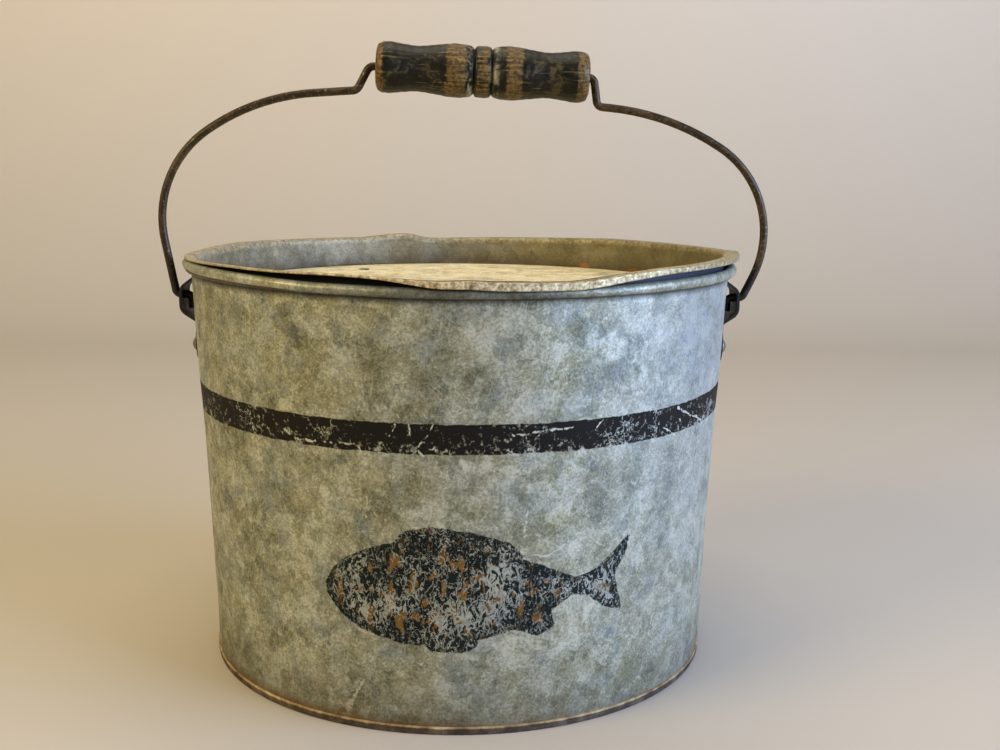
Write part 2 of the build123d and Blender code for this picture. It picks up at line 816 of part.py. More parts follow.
def hinge_leaf_with_holes(side, spans, places):
    """A hinge leaf with the holes for its rivets."""
    leaf = hinge_leaf(side, spans)
    for place in places:
        leaf -= place * Cylinder(small_rivet_shank / 2 + seam_clearance, drill_depth)
    return leaf


os.makedirs("parts", exist_ok=True)
for name, solid in all_nodes().items():
    export_step(solid, f"parts/{name}.step")
    print(name, round(solid.volume, 1))
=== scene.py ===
# %% [markdown]
# # A galvanised minnow bucket
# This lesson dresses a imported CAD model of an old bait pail. The pail is thin steel sheet dipped in
# zinc, with a wire bail, a turned wooden grip, and a floating inner bucket whose sunk deck shows
# inside the rim. The CAD model gives every size and place. Blender adds what years of use did to it:
# a bent hem, soft dents, mottled zinc, rust, and paint that has flaked away.
# Everything below is in metres, in the same frame as the CAD model: Z is up and -Y faces the viewer.

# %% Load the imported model
import math

import bpy
import numpy as np
from mathutils import Matrix, Vector


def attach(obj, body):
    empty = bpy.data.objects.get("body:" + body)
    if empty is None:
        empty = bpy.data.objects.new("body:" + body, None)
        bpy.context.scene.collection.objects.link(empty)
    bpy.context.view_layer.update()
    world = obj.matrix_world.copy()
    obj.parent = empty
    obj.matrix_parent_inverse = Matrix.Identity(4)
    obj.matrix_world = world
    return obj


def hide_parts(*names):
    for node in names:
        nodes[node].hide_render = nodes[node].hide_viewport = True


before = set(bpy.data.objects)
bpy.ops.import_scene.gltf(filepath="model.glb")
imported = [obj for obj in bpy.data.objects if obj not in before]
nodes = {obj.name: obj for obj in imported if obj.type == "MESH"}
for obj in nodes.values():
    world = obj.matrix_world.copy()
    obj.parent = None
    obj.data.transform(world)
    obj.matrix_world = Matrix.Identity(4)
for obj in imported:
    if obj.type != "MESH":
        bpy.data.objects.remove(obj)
scene = bpy.context.scene
MM = 0.001


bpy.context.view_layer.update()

# %% [markdown]
# ## The camera
# The photograph was taken from about 0.6 m in front of the pail's axis and 0.24 m above the table,
# looking down by ten degrees. A camera looks along its own -Z axis, so its matrix is built from three unit
# vectors: to the right, up, and backwards. Building the matrix directly avoids any doubt about the
# order of rotations.

# %% Camera
pitch, yaw, roll = (math.radians(angle) for angle in (10.291, 1.817, 0.593))
forward = Vector((math.sin(yaw) * math.cos(pitch), math.cos(yaw) * math.cos(pitch), -math.sin(pitch)))
level_right = Vector((math.cos(yaw), -math.sin(yaw), 0))
level_up = level_right.cross(forward)
right = level_right * math.cos(roll) + level_up * math.sin(roll)
up = level_up * math.cos(roll) - level_right * math.sin(roll)

camera = bpy.data.objects.new("camera", bpy.data.cameras.new("camera"))
camera.data.lens = 45.0
camera.data.sensor_width = 36.0
camera.data.clip_start = 0.01
axes = Matrix((right, up, -forward)).transposed().to_4x4()
camera.matrix_world = Matrix.Translation((0, -0.604977, 0.240808)) @ axes
scene.collection.objects.link(camera)
scene.camera = camera
print("camera looks along", tuple(round(value, 3) for value in forward))

# %% [markdown]
# ## Colours and nodes
# Colours are chosen as sRGB hex values, the way a paint shop would note them, and turned to linear
# light in one place. One small function adds any shader node, sets its properties, and fills its
# sockets with numbers, colours or links. Ramps are given as a list of stops. Two nodes do most of the
# work: MapRange turns one range of numbers into another, and Mix lays a tone over a colour by a share
# between 0 and 1.

# %% Helpers for materials


def linear(colour):
    """Turns an sRGB hex colour to linear RGBA.

    Each channel c becomes ((c + 0.055) / 1.055) ** 2.4, or c / 12.92 when it is dark.
    """
    channels = [int(colour[i : i + 2], 16) / 255 for i in (1, 3, 5)]
    return [c / 12.92 if c <= 0.04045 else ((c + 0.055) / 1.055) ** 2.4 for c in channels] + [1.0]


# The sockets that a list of inputs fills, where they aren't the node's first ones. A Mix node for colours has
# its share at input 0, the lower and the upper colour at 6 and 7, and its result at output 2.
SOCKETS = {
    "TexNoise": ("Vector", "Scale", "Detail", "Roughness", "Distortion"),
    "TexVoronoi": ("Vector", "Scale"),
    "Mapping": ("Vector", "Scale"),
    "VectorRotate": ("Vector", "Angle"),
    "Bump": ("Height", "Strength", "Distance"),
    "Mix": (0, 6, 7),
}
COLOURS = {"out": 2, "data_type": "RGBA"}


def add(tree, kind, inputs=(), out=0, stops=None, **settings):
    """Adds a node of a kind with its settings, fills its inputs, and returns one of its outputs.

    Inputs are a list that fills the sockets in order, or a dict by their names or numbers. MapRange takes
    a value, the two ends of its range, and the two numbers that those turn into, or else 0 and 1.
    """
    if not isinstance(inputs, dict):
        inputs = dict(zip(SOCKETS.get(kind, range(len(inputs))), inputs))
    node = tree.nodes.new("ShaderNode" + kind)
    for key, value in settings.items():
        setattr(node, key, value)
    if stops:
        ramp = node.color_ramp
        while len(ramp.elements) < len(stops):
            ramp.elements.new(0.5)
        for element, (place, value) in zip(ramp.elements, stops):
            element.position = place
            element.color = linear(value) if isinstance(value, str) else [value, value, value, 1]
    for key, value in inputs.items():
        if isinstance(value, bpy.types.NodeSocket):
            tree.links.new(value, node.inputs[key])
        else:
            node.inputs[key].default_value = linear(value) if isinstance(value, str) else value
    return node.outputs[out]


def new_material(name):
    """An empty material and its node tree."""
    material = bpy.data.materials.new(name)
    material.use_nodes = True
    material.node_tree.nodes.clear()
    return material, material.node_tree


def finish_with(tree, inputs):
    """Adds the Principled shader with its inputs and links it to the material's output."""
    shader = add(tree, "BsdfPrincipled", inputs)
    tree.links.new(shader, tree.nodes.new("ShaderNodeOutputMaterial").inputs["Surface"])


def dress(piece, material):
    """Puts one material on a piece or a CAD node, in place of what it had."""
    piece.data.materials.clear()
    piece.data.materials.append(material)


# %% [markdown]
# ## Surfaces on a grid
# Almost everything on this pail is either turned about the upright axis or drawn along a line, so it
# can be written as a grid of points: one direction runs round, the other runs along the cross-section.
# numpy works out the whole grid at once. A cross-section that closes on itself gives a sheet with a
# real thickness and no open edge, and the sign of the enclosed volume says whether the faces point
# outwards.

# %% Helpers for meshes


def grid_faces(rows, columns, wrap_rows, wrap_columns):
    """Corner numbers of a grid's quads: (j, i), (j, i+1), (j+1, i+1), (j+1, i), wrapped where it closes."""
    down, across = np.arange(rows - (not wrap_rows)), np.arange(columns - (not wrap_columns))
    j, i = (part.ravel() for part in np.meshgrid(down, across, indexing="ij"))
    below, after = (j + 1) % rows, (i + 1) % columns
    return np.stack([j * columns + i, j * columns + after, below * columns + after, below * columns + i], 1)


def enclosed_volume(points, faces):
    """Volume inside a closed grid: a third of the sum of each quad's centre dotted with its area vector."""
    a, b, c, d = (points[faces[:, k]] for k in range(4))
    return float(np.einsum("ij,ij->", (a + b + c + d) / 4, np.cross(c - a, d - b) / 2)) / 3


def grid_piece(name, points, wrap_rows=True, wrap_columns=True, uv=None, sharp=40):
    """Makes a piece from a grid of points of shape (rows, columns, 3), and maybe a UV map, in metres."""
    rows, columns = points.shape[:2]
    flat = points.reshape(-1, 3)
    faces = grid_faces(rows, columns, wrap_rows, wrap_columns)
    turned = enclosed_volume(flat, faces) < 0
    if turned:
        faces = faces[:, ::-1]
    mesh = bpy.data.meshes.new(name)
    mesh.vertices.add(len(flat))
    mesh.vertices.foreach_set("co", flat.astype(np.float32).ravel())
    mesh.loops.add(faces.size)
    mesh.loops.foreach_set("vertex_index", faces.astype(np.int32).ravel())
    mesh.polygons.add(len(faces))
    mesh.polygons.foreach_set("loop_start", np.arange(0, faces.size, 4, dtype=np.int32))
    mesh.update(calc_edges=True)
    if uv is not None:
        corners = [uv[:-1, :-1], uv[:-1, 1:], uv[1:, 1:], uv[1:, :-1]]
        loops = np.stack([corner.reshape(-1, 2) for corner in corners], 1)
        if turned:
            loops = loops[:, ::-1]
        mesh.uv_layers.new(name="metres").data.foreach_set("uv", loops.astype(np.float32).ravel())
    mesh.polygons.foreach_set("use_smooth", np.ones(len(faces), dtype=bool))
    mesh.set_sharp_from_angle(angle=math.radians(sharp))
    piece = bpy.data.objects.new(name, mesh)
    scene.collection.objects.link(piece)
    print(f"{name}: {rows} x {columns} points, {abs(enclosed_volume(flat, faces)) * 1e6:.1f} ml")
    return piece


def turned_points(radius, height, angle):
    """Points at radius and height, turned by an angle from the front (-Y) towards +X: (r sin, -r cos, z)."""
    radius, height, angle = np.broadcast_arrays(radius, height, angle)
    return np.stack([radius * np.sin(angle), -radius * np.cos(angle), height], -1)


def vertex_numbers(piece, name, values):
    """Stores one number for each vertex of a piece, as an attribute that a material can read by its name."""
    attribute = piece.data.attributes.new(name, "FLOAT", "POINT")
    attribute.data.foreach_set("value", values.astype(np.float32).ravel())


def smooth_step(low, high, value):
    """0 below low, 1 above high, and 3t^2 - 2t^3 between."""
    t = np.clip((value - low) / (high - low), 0, 1)
    return t * t * (3 - 2 * t)


def around(places, values, angle, blur=1.2):
    """A closed curve through values at places in degrees round the pail, averaged over a bell blur wide."""
    fine = np.arange(-180, 180, 0.25)
    line = np.interp(fine, places, values, period=360)
    offset = np.arange(-40, 41) * 0.25
    bell = np.exp(-((offset / blur) ** 2) / 2)
    spread = np.convolve(np.concatenate([line[-40:], line, line[:40]]), bell / bell.sum(), mode="valid")
    return np.interp(np.degrees(angle), fine, spread, period=360)


# %% [markdown]
# ## The pail's sheet wall
# The real wall is one strip of sheet, rolled to a cone, locked in a folded seam at the back and
# curled outwards round a wire at the top. The CAD wall is perfect, and a real one never is: knocks
# leave shallow dents, and the light on the zinc shows each of them. The wall is made again as one
# closed cross-section, carried round the axis, and moved inwards by a sum of long soft waves that
# fade out at the foot, at the rim and under the ears, so that everything still seats.

# %% Sizes of the wall, as in the CAD model, in metres
SHEET = 0.7 * MM
BEAD_X, BEAD_Z = 128.75 * MM, 185.75 * MM
BEAD_INNER, BEAD_OUTER = 1.55 * MM, 2.25 * MM
BASE_RADIUS = 119.0 * MM
FLARE = BEAD_X - BASE_RADIUS
TAPER = math.acos(BEAD_INNER / math.hypot(FLARE, BEAD_Z)) - math.atan2(BEAD_Z, FLARE)
WALL_THICK = SHEET / math.cos(TAPER)
UNROLL_RADIUS = 122.0  # in millimetres, the wall's radius half-way up, which turns an angle to a length


def wall_radius(height):
    """Outside radius of the cone at a height: the base radius plus height times the tangent of the taper."""
    return BASE_RADIUS + height * math.tan(TAPER)


# %% Angles round the wall, closer together over the painted front and at the back seam
front = np.arange(-44, 50, 0.62)
sides = np.concatenate([np.arange(-176, -44, 1.15), np.arange(50, 176, 1.15)])
seam = np.arange(176, 184, 0.22)
wall_angle = np.radians(np.sort(np.concatenate([front, sides, (seam + 180) % 360 - 180])))

# %% Cross-section of the wall, from the foot up the outside, round the curl and down the inside
outside_z = [np.linspace(0.9, 33, 16), np.linspace(34.3, 92, 46), np.linspace(94, 184, 40)]
outside_z = np.concatenate(outside_z) * MM
curl = np.radians(np.linspace(180 - math.degrees(TAPER), -118, 30))
inside_z = np.linspace(183.5, 0.9, 40) * MM
bead_lines = [(BEAD_INNER, curl), (BEAD_OUTER, curl[::-1])]
profile_r = np.concatenate(
    [wall_radius(outside_z)]
    + [BEAD_X + radius * np.cos(turn) for radius, turn in bead_lines]
    + [wall_radius(inside_z) - WALL_THICK]
)
profile_z = np.concatenate(
    [outside_z] + [BEAD_Z + radius * np.sin(turn) for radius, turn in bead_lines] + [inside_z]
)

# %% Dents, the seam and the finished wall
# Each dent has a place round the wall in degrees, a level, a width and a depth in millimetres
DENTS = (
    (31, 44, 11, 0.7), (46, 108, 14, 0.6), (-33, 152, 13, 0.5), (-120, 90, 22, 0.9), (140, 60, 18, 0.8),
)


def wall_dent(angle, height):
    """Inward movement of the wall in metres: long waves and round dents, faded out where pieces join."""
    a, z = angle, height / MM
    waves = (
        0.30 * np.sin(3 * a + 0.8) * np.sin(z / 38 + 1.1)
        + 0.22 * np.sin(7 * a + z / 29 + 2.0)
        + 0.12 * np.sin(13 * a - z / 17 + 0.4)
    )
    dents = np.zeros_like(waves)
    for place, level, wide, deep in DENTS:
        far = np.hypot((a - math.radians(place)) * UNROLL_RADIUS, z - level)
        dents += deep * np.exp(-((far / wide) ** 2))
    keep = smooth_step(5, 22, z) * (1 - smooth_step(168, 182, z))
    ear = np.minimum(np.abs(a - math.pi / 2), np.abs(a + math.pi / 2)) * 125
    keep = keep * (1 - (1 - smooth_step(17, 34, ear)) * smooth_step(118, 134, z))
    return (0.42 + waves + dents) * keep * MM


j_z, i_a = np.meshgrid(profile_z, wall_angle, indexing="ij")
j_r = np.repeat(profile_r[:, None], len(wall_angle), 1)
from_seam = np.abs(np.abs(i_a) - math.pi) * wall_radius(j_z)
on_outside = (np.arange(len(profile_z)) < len(outside_z))[:, None]
rib_height = smooth_step(5.6, 6.6, j_z / MM) * (1 - smooth_step(180.5, 182, j_z / MM))
rib = 1.3 * MM * (1 - smooth_step(2.5 * MM, 3.1 * MM, from_seam)) * rib_height * on_outside
curl_only = j_z > 183.4 * MM
in_curl = curl_only * 0.12 * MM * np.sin(5 * i_a + 1) * np.sin(17 * i_a)
# The bead was knocked too: it rises by bead_rise millimetres, and keeps a share bead_thin of its height
bead_rise = around(
    [-180, -110, -85, -65, -50, -38, -28, -20, -13, -6, 5, 31, 40, 60, 90, 130],
    [0.0, 0.4, 1.6, 2.3, 2.1, 1.5, 0.8, 0.6, 0.2, -0.2, -0.3, -0.2, 0.4, 0.5, 0.3, 0.1],
    wall_angle,
    blur=2.0,
)
bead_thin = around(
    [-180, -110, -85, -65, -45, -25, -8, 5],
    [1.0, 0.95, 0.78, 0.78, 0.85, 0.84, 0.95, 1.0],
    wall_angle,
    blur=3.0,
)
curled = curl_only * (1 - bead_thin) * (BEAD_Z - j_z)
lifted = j_z + curled + bead_rise * MM * np.clip((j_z / MM - 181.9) / 3.2, 0, 1.0)
wall_points = turned_points(j_r - wall_dent(i_a, j_z) + rib + in_curl, lifted, i_a)

unrolled = np.append(wall_angle, wall_angle[0] + 2 * math.pi) * UNROLL_RADIUS * MM
wall_uv = np.stack(np.meshgrid(unrolled, np.append(profile_z, profile_z[0])), -1)
pail_sheet = grid_piece("pail_sheet", wall_points, uv=wall_uv)

# %% [markdown]
# ## A painted fish, as a distance field
# The front of the pail carries a hand-painted fish, worn through in small flakes. The paint follows the
# curve of the wall, so it is not a decal but a number on each vertex: the distance from that vertex to
# the edge of the fish, positive inside. The material turns the number into paint, and because it knows
# how far away the edge is, it can make the edge ragged and keep the ochre touches inside it. This fish
# is a plain one, made of an oval body, three fins and a forked tail.

# %% Outline of the fish on the unrolled wall, in millimetres


def inside_distance(x, z, corners):
    """Signed distance to a polygon: the nearest edge gives its size, and the edges crossed give its sign.

    For a corner a and the next corner b, t = (p - a) . (b - a) / |b - a|^2, held between 0 and 1, gives the
    place a + t (b - a) on that edge nearest to p. With an odd number of edges to its right, p is inside.
    """
    corners = np.asarray(corners, float)
    nearest = np.full(x.shape, 1e9)
    inside = np.zeros(x.shape, bool)
    for (ax, az), (bx, bz) in zip(corners, np.roll(corners, -1, 0)):
        run_x, run_z = bx - ax, bz - az
        t = np.clip(((x - ax) * run_x + (z - az) * run_z) / (run_x**2 + run_z**2), 0, 1)
        nearest = np.minimum(nearest, np.hypot(x - ax - t * run_x, z - az - t * run_z))
        if az != bz:
            inside ^= ((az > z) != (bz > z)) & (x < run_x * (z - az) / run_z + ax)
    return np.where(inside, nearest, -nearest)


t = np.linspace(0, 1, 30)
back_line = np.stack([-58 + 110 * t, 63 + 21 * np.sin(math.pi * t**0.72) ** 0.85 + 1.5 * t], 1)
belly_line = np.stack([-58 + 110 * t, 59.5 - 21 * np.sin(math.pi * t**0.78) ** 0.8 + 2 * t], 1)
body = np.concatenate([back_line, belly_line[::-1]])
tail = [(48, 66), (58, 68), (68, 75), (77, 82), (74, 72), (69, 64), (72, 56), (75, 47), (64, 51), (56, 57)]
tail += [(48, 59)]
back_fin = [(-30, 80), (-24, 88), (-12, 91), (4, 89), (20, 84), (27, 77), (0, 76)]
belly_fin = [(-20, 44), (-12, 37), (2, 36.5), (8, 40), (4, 46)]
rear_fin = [(20, 47), (33, 42), (41, 46), (38, 56), (24, 56)]

wall_x = i_a * UNROLL_RADIUS
wall_z = j_z / MM
fish = np.full(wall_x.shape, -30.0)
painted = (np.abs(wall_x - 8) < 95) & (np.abs(wall_z - 63) < 45) & on_outside
for outline in (body, tail, back_fin, belly_fin, rear_fin):
    fish[painted] = np.maximum(fish[painted], inside_distance(wall_x[painted], wall_z[painted], outline))
vertex_numbers(pail_sheet, "fish", fish * MM)
print("fish covers", int((fish > 0).sum()), "of", fish.size, "points")

# %% [markdown]
# ## The inner bucket's collar
# The floating bucket hangs in the pail by a folded hem. The photograph shows how it was knocked about:
# on the left the hem is squeezed flat and stands a little over the pail's bead, at the front centre it
# dips, on the right it is folded down as a broad band and lifts clear, and at the back it has a
# sharp kink. One cross-section goes all the way round: up the inside, over the bend, out to the rolled
# edge, back under the fold and down the outside. The height of the hem, the depth of its fold, its
# reach and the radius of its bend are curves round the pail.

# %% Curves of the hem round the pail: places in degrees from the front, then values in millimetres
hem_top = around(
    [
        -175, -171, -168.5, -166, -162, -154, -140, -115, -97, -80, -68, -49, -37, -24, -16, -9, -4, 1, 6,
        13, 20, 25, 30, 40, 57, 75, 86, 95, 113, 127, 139, 160, 172, 178,
    ],
    [
        188.9, 189.0, 190.4, 191.8, 191.4, 189.8, 190.1, 190.9, 189.9, 190.5, 191.2, 192.1, 192.0, 192.3,
        191.9, 190.9, 190.3, 190.9, 190.3, 190.1, 189.9, 190.9, 192.0, 193.2, 193.3, 193.1, 193.6, 192.3,
        191.5, 191.3, 191.3, 190.0, 189.6, 189.2,
    ],
    wall_angle,
)
hem_fold = around(
    [-180, -150, -110, -90, -60, -20, -12, -6, 0, 6, 25, 33, 45, 60, 90, 120, 150],
    [1.1, 1.5, 1.6, 1.2, 0.92, 0.92, 1.1, 2.4, 3.1, 3.3, 3.2, 2.7, 2.1, 2.0, 2.0, 2.0, 1.5],
    wall_angle,
    blur=2.0,
)
hem_reach = around(
    [-180, -120, -90, -60, -20, -10, -3, 3, 24, 32, 50, 85, 95, 105, 140],
    [130.4, 130.5, 130.3, 129.9, 129.8, 130.8, 132.2, 132.4, 132.4, 131.2, 130.8, 132.3, 131.9, 130.9, 130.6],
    wall_angle,
    blur=2.0,
)
hem_bend = around(
    [-180, -130, -95, -75, -15, -4, 30, 95, 120, 150],
    [2.0, 2.0, 2.6, 4.0, 4.0, 1.2, 1.2, 1.2, 2.0, 2.0],
    wall_angle,
    blur=3.0,
)

# %% Cross-section of the collar in millimetres, with each point's height and radius for every angle
COLLAR_FOOT, HEM_LEVEL, COLLAR_GAP = 124.5, 190, 1.5


def collar_radius(z):
    """Outside radius of the collar at a height, both in millimetres: the pail's inside less the gap."""
    return (wall_radius(z * MM) - WALL_THICK) / MM - COLLAR_GAP


def rounded_corner(r, z, start, end, radius, steps):
    """Points of an arc of a radius about a moving centre (r, z), between two angles in degrees."""
    turn = np.radians(np.linspace(start, end, steps))[:, None]
    return r + radius * np.cos(turn), z + radius * np.sin(turn)


sheet = SHEET / MM
fold_step = sheet + 0.05  # from the top of the fold's upper layer to the top of its lower one
squeeze = -1.3 * np.exp(-(((np.degrees(wall_angle) + 169) / 5) ** 2)) + 0.5 * np.sin(4 * wall_angle + 0.7)
top_r = collar_radius(HEM_LEVEL) + squeeze
lip = 0.45  # radius of the hem's rolled edge


def upright_wall(top):
    """Radius and height of the outside of the collar's wall, from its foot up to a top that varies."""
    z = np.linspace(0, 1, 46)[:, None] * (top - COLLAR_FOOT) + COLLAR_FOOT
    return collar_radius(z) + squeeze * smooth_step(150, 186, z), z


inner_r, inner_z = upright_wall(hem_top - hem_bend)
inner_r = inner_r - sheet
bend_r, bend_z = rounded_corner(top_r + hem_bend - sheet, hem_top - hem_bend, 180, 90, hem_bend, 8)
edge_r, edge_z = rounded_corner(hem_reach - lip, hem_top - lip, 90, 0, lip, 6)
down = np.linspace(0, 1, 5)[1:, None]
fold_z = hem_top - np.maximum(hem_fold - lip, lip)
down_r, down_z = hem_reach + 0 * down, hem_top - lip + down * (fold_z - hem_top + lip)
lip_r, lip_z = rounded_corner(hem_reach - lip, fold_z, 0, -180, lip, 8)
under_z = hem_top - fold_step
back_r = hem_reach - 2 * lip + 0 * down
back_z = fold_z + down * (np.maximum(under_z, fold_z) - fold_z)
under_r = top_r + hem_bend + np.linspace(1, 0, 5)[:, None] * (hem_reach - 2.4 * lip - top_r - hem_bend)
root_r, root_z = rounded_corner(top_r + hem_bend, under_z - hem_bend, 90, 180, hem_bend, 8)
outer_r, outer_z = (line[::-1] for line in upright_wall(under_z - hem_bend))
collar_r = np.concatenate([inner_r, bend_r, edge_r, down_r, lip_r, back_r, under_r, root_r, outer_r])
collar_z = [inner_z, bend_z, edge_z, down_z, lip_z, back_z, under_z + 0 * under_r, root_z, outer_z]
collar_z = np.concatenate(collar_z)
collar_points = turned_points(collar_r * MM, collar_z * MM, wall_angle[None, :])
collar_sheet = grid_piece("collar_sheet", collar_points, sharp=50)

# %% Three tones of the collar, from 0 to 1: painted shade under the fold, rubbed on the hem, darker in its front crease
hidden_rows = len(outer_r) + len(root_r) + len(under_r)
painted_fold_shade = np.zeros_like(collar_r)
# Painted shade in the gap under the fold: full on the left and front, half on the right, where it becomes a
# painted blue-grey light
painted_fold_shade[-hidden_rows:] = 1 - 0.5 * smooth_step(24, 40, np.degrees(wall_angle))
painted_fold_shade = painted_fold_shade * smooth_step(180, 185.5, collar_z)
handled = np.zeros_like(collar_r)
handled[len(inner_r) - 1 : -hidden_rows] = around(
    [-180, -120, -70, -25, -10, 30, 50, 80, 120],
    [0.35, 0.4, 0.6, 0.7, 1.0, 1.0, 0.7, 0.5, 0.35],
    wall_angle,
    blur=3.0,
)
# Darker along the front crease of the hem
creased = np.zeros_like(collar_r)
bend_end = len(inner_r) + len(bend_r)
creased[bend_end - 4 : bend_end] = around(
    [-15, -9, 0, 12, 20, 27, 35], [0.0, 0.6, 1.0, 1.0, 0.8, 0.6, 0.0], wall_angle, blur=2.0
)
for name, values in (("painted_fold_shade", painted_fold_shade), ("handled", handled), ("creased", creased)):
    vertex_numbers(collar_sheet, name, values)

# %% [markdown]
# ## Solder round the deck
# The deck of the float is a flat disc soldered into the collar. The joint shows as a low, lumpy
# fillet where the two meet. It is a small triangle with a hollow face, carried round the wall, and
# its size wanders as the solderer's iron did.

# %% Solder fillet, in millimetres
DECK_TOP = 174.5
lump = 1.7 + 0.5 * np.sin(9 * wall_angle + 1) * np.sin(23 * wall_angle) + 0.35 * np.sin(41 * wall_angle + 2)
rise = np.linspace(0, math.pi / 2, 7)[:, None]
corner_r = collar_radius(DECK_TOP) - sheet
fillet_r = np.concatenate([corner_r + 0.25 - lump * (1 - np.sin(rise)), [corner_r + 0.3 + 0 * lump]])
sunk = DECK_TOP - 0.05
fillet_z = np.concatenate([sunk + lump * (1 - np.cos(rise)), [sunk + 0 * lump]])
fillet_points = turned_points(fillet_r * MM, fillet_z * MM, wall_angle[None, :])
deck_solder = grid_piece("deck_solder", fillet_points, sharp=60)

# %% [markdown]
# ## The turned grip
# The grip was turned on a lathe from a light hardwood, drilled, threaded on the wire and dipped in
# black paint. Hands have worn the paint through on the swells, the centre ring and the ends. Its
# outline is a smooth curve through a few radii, with two cut grooves beside the ring. The surface
# also gets the fine ridges that wear leaves between the hard and soft wood.

# %% Outline of the grip along its axis, in millimetres
swell = np.array([-50, -49.4, -48, -45, -38, -31, -22, -13, -8.5, -5.4])
swell_r = np.array([8.6, 10.2, 11.3, 11.8, 11.1, 10.45, 11.4, 12.45, 12.15, 11.55])
knots = np.concatenate([swell, -swell[::-1]])
knots_r = np.concatenate([swell_r, swell_r[::-1]])
spans = ((-50, -45, 14), (-44.4, -6.2, 84), (-6, 6, 64), (6.2, 44.4, 84), (45, 50, 14))
along = np.concatenate([np.linspace(*span) for span in spans])


def smooth_through(places, values, at):
    """Cubic curve through the values: each span is a Hermite cubic, with slopes taken from its neighbours."""
    slope = np.gradient(values, places)
    k = np.clip(np.searchsorted(places, at) - 1, 0, len(places) - 2)
    span = places[k + 1] - places[k]
    s = (at - places[k]) / span
    return (
        values[k] * (2 * s**3 - 3 * s**2 + 1)
        + values[k + 1] * (3 * s**2 - 2 * s**3)
        + slope[k] * span * (s**3 - 2 * s**2 + s)
        + slope[k + 1] * span * (s**3 - s**2)
    )


grip_r = smooth_through(knots, knots_r, along)
ring = np.abs(along) < 5.3
grip_r = np.where(ring, 11.9 - 0.35 * (along / 3.6) ** 2, grip_r)
for groove in (-4.2, 4.2):
    grip_r = grip_r - np.exp(-(((along - groove) / 0.55) ** 2))

# %% Turn it, add grain ridges and lay it along the bail
GRIP_X, GRIP_Z, GRIP_TILT = 9.6, 275.9, math.radians(2.28)
BORE_RADIUS, GIRTH_RADIUS = 2.3, 11.5
grip_turn = np.linspace(-math.pi, math.pi, 180, endpoint=False)
g_a, g_t = np.meshgrid(along, grip_turn, indexing="ij")
ridges = 0.05 * np.sin(41 * g_t + 0.06 * g_a) * np.sin(17 * g_t + 2)
ridges = ridges + 0.05 * np.sin(g_a * 1.7 + 3 * np.sin(2 * g_t))
worn = 0.16 * np.exp(-(((g_a + 13.5) / 5) ** 2)) + 0.14 * np.exp(-(((g_a - 14) / 3.5) ** 2))
worn = worn + 0.2 * np.exp(-(((np.abs(g_a) - 48) / 2) ** 2))
grip_radius = grip_r[:, None] + ridges - worn * (0.5 + 0.5 * np.sin(11 * g_t + g_a))
bore = np.linspace(50, -50, 12)
full_r = np.concatenate([grip_radius, np.full((12, 180), BORE_RADIUS)])
full_a = np.concatenate([g_a, np.repeat(bore[:, None], 180, 1)])
full_t = np.repeat(grip_turn[None, :], len(full_a), 0)
upwards = full_r * np.cos(full_t)
grip_points = np.stack(
    [
        GRIP_X + full_a * math.cos(GRIP_TILT) + upwards * math.sin(GRIP_TILT),
        full_r * np.sin(full_t),
        GRIP_Z - full_a * math.sin(GRIP_TILT) + upwards * math.cos(GRIP_TILT),
    ],
    -1,
)
girth = np.append(grip_turn, math.pi) * GIRTH_RADIUS * MM
grip_uv = np.stack(np.meshgrid(girth, np.append(full_a[:, 0], -50) * MM), -1)
turned_grip = grid_piece("turned_grip", grip_points * MM, uv=grip_uv)

# %% [markdown]
# ## Weathered zinc
# Hot-dip galvanising leaves zinc crystals, called spangle, about 4 to 12 mm across. Decades of
# weather turn them to a matt patina of zinc carbonate, so the crystals show as soft patches of
# lighter and darker grey. Zinc is a metal, but the patina is not, so the surface is only partly
# metallic and quite rough. The pattern here is in layers: crystals from a warped Voronoi texture,
# slow patina and fine grain from noise, then specks, branching hair lines, slanting rubs and single
# scratches, each with a function of its own.

# %% Layers of the zinc, shared by several materials
WEATHER_MIDDLE, WEATHER_RANGE = 1.255, 0.24


def warped(tree, where, scale, reach, detail=4.0):
    """A place pushed aside by up to half of reach each way, by a noise of a scale of its own."""
    drift = add(tree, "TexNoise", [where, scale, detail, 0.65], out="Color")
    centred = add(tree, "VectorMath", [drift, (0.5, 0.5, 0.5)], operation="SUBTRACT")
    scaled = add(tree, "VectorMath", {0: centred, "Scale": reach}, operation="SCALE")
    return add(tree, "VectorMath", [where, scaled], operation="ADD")


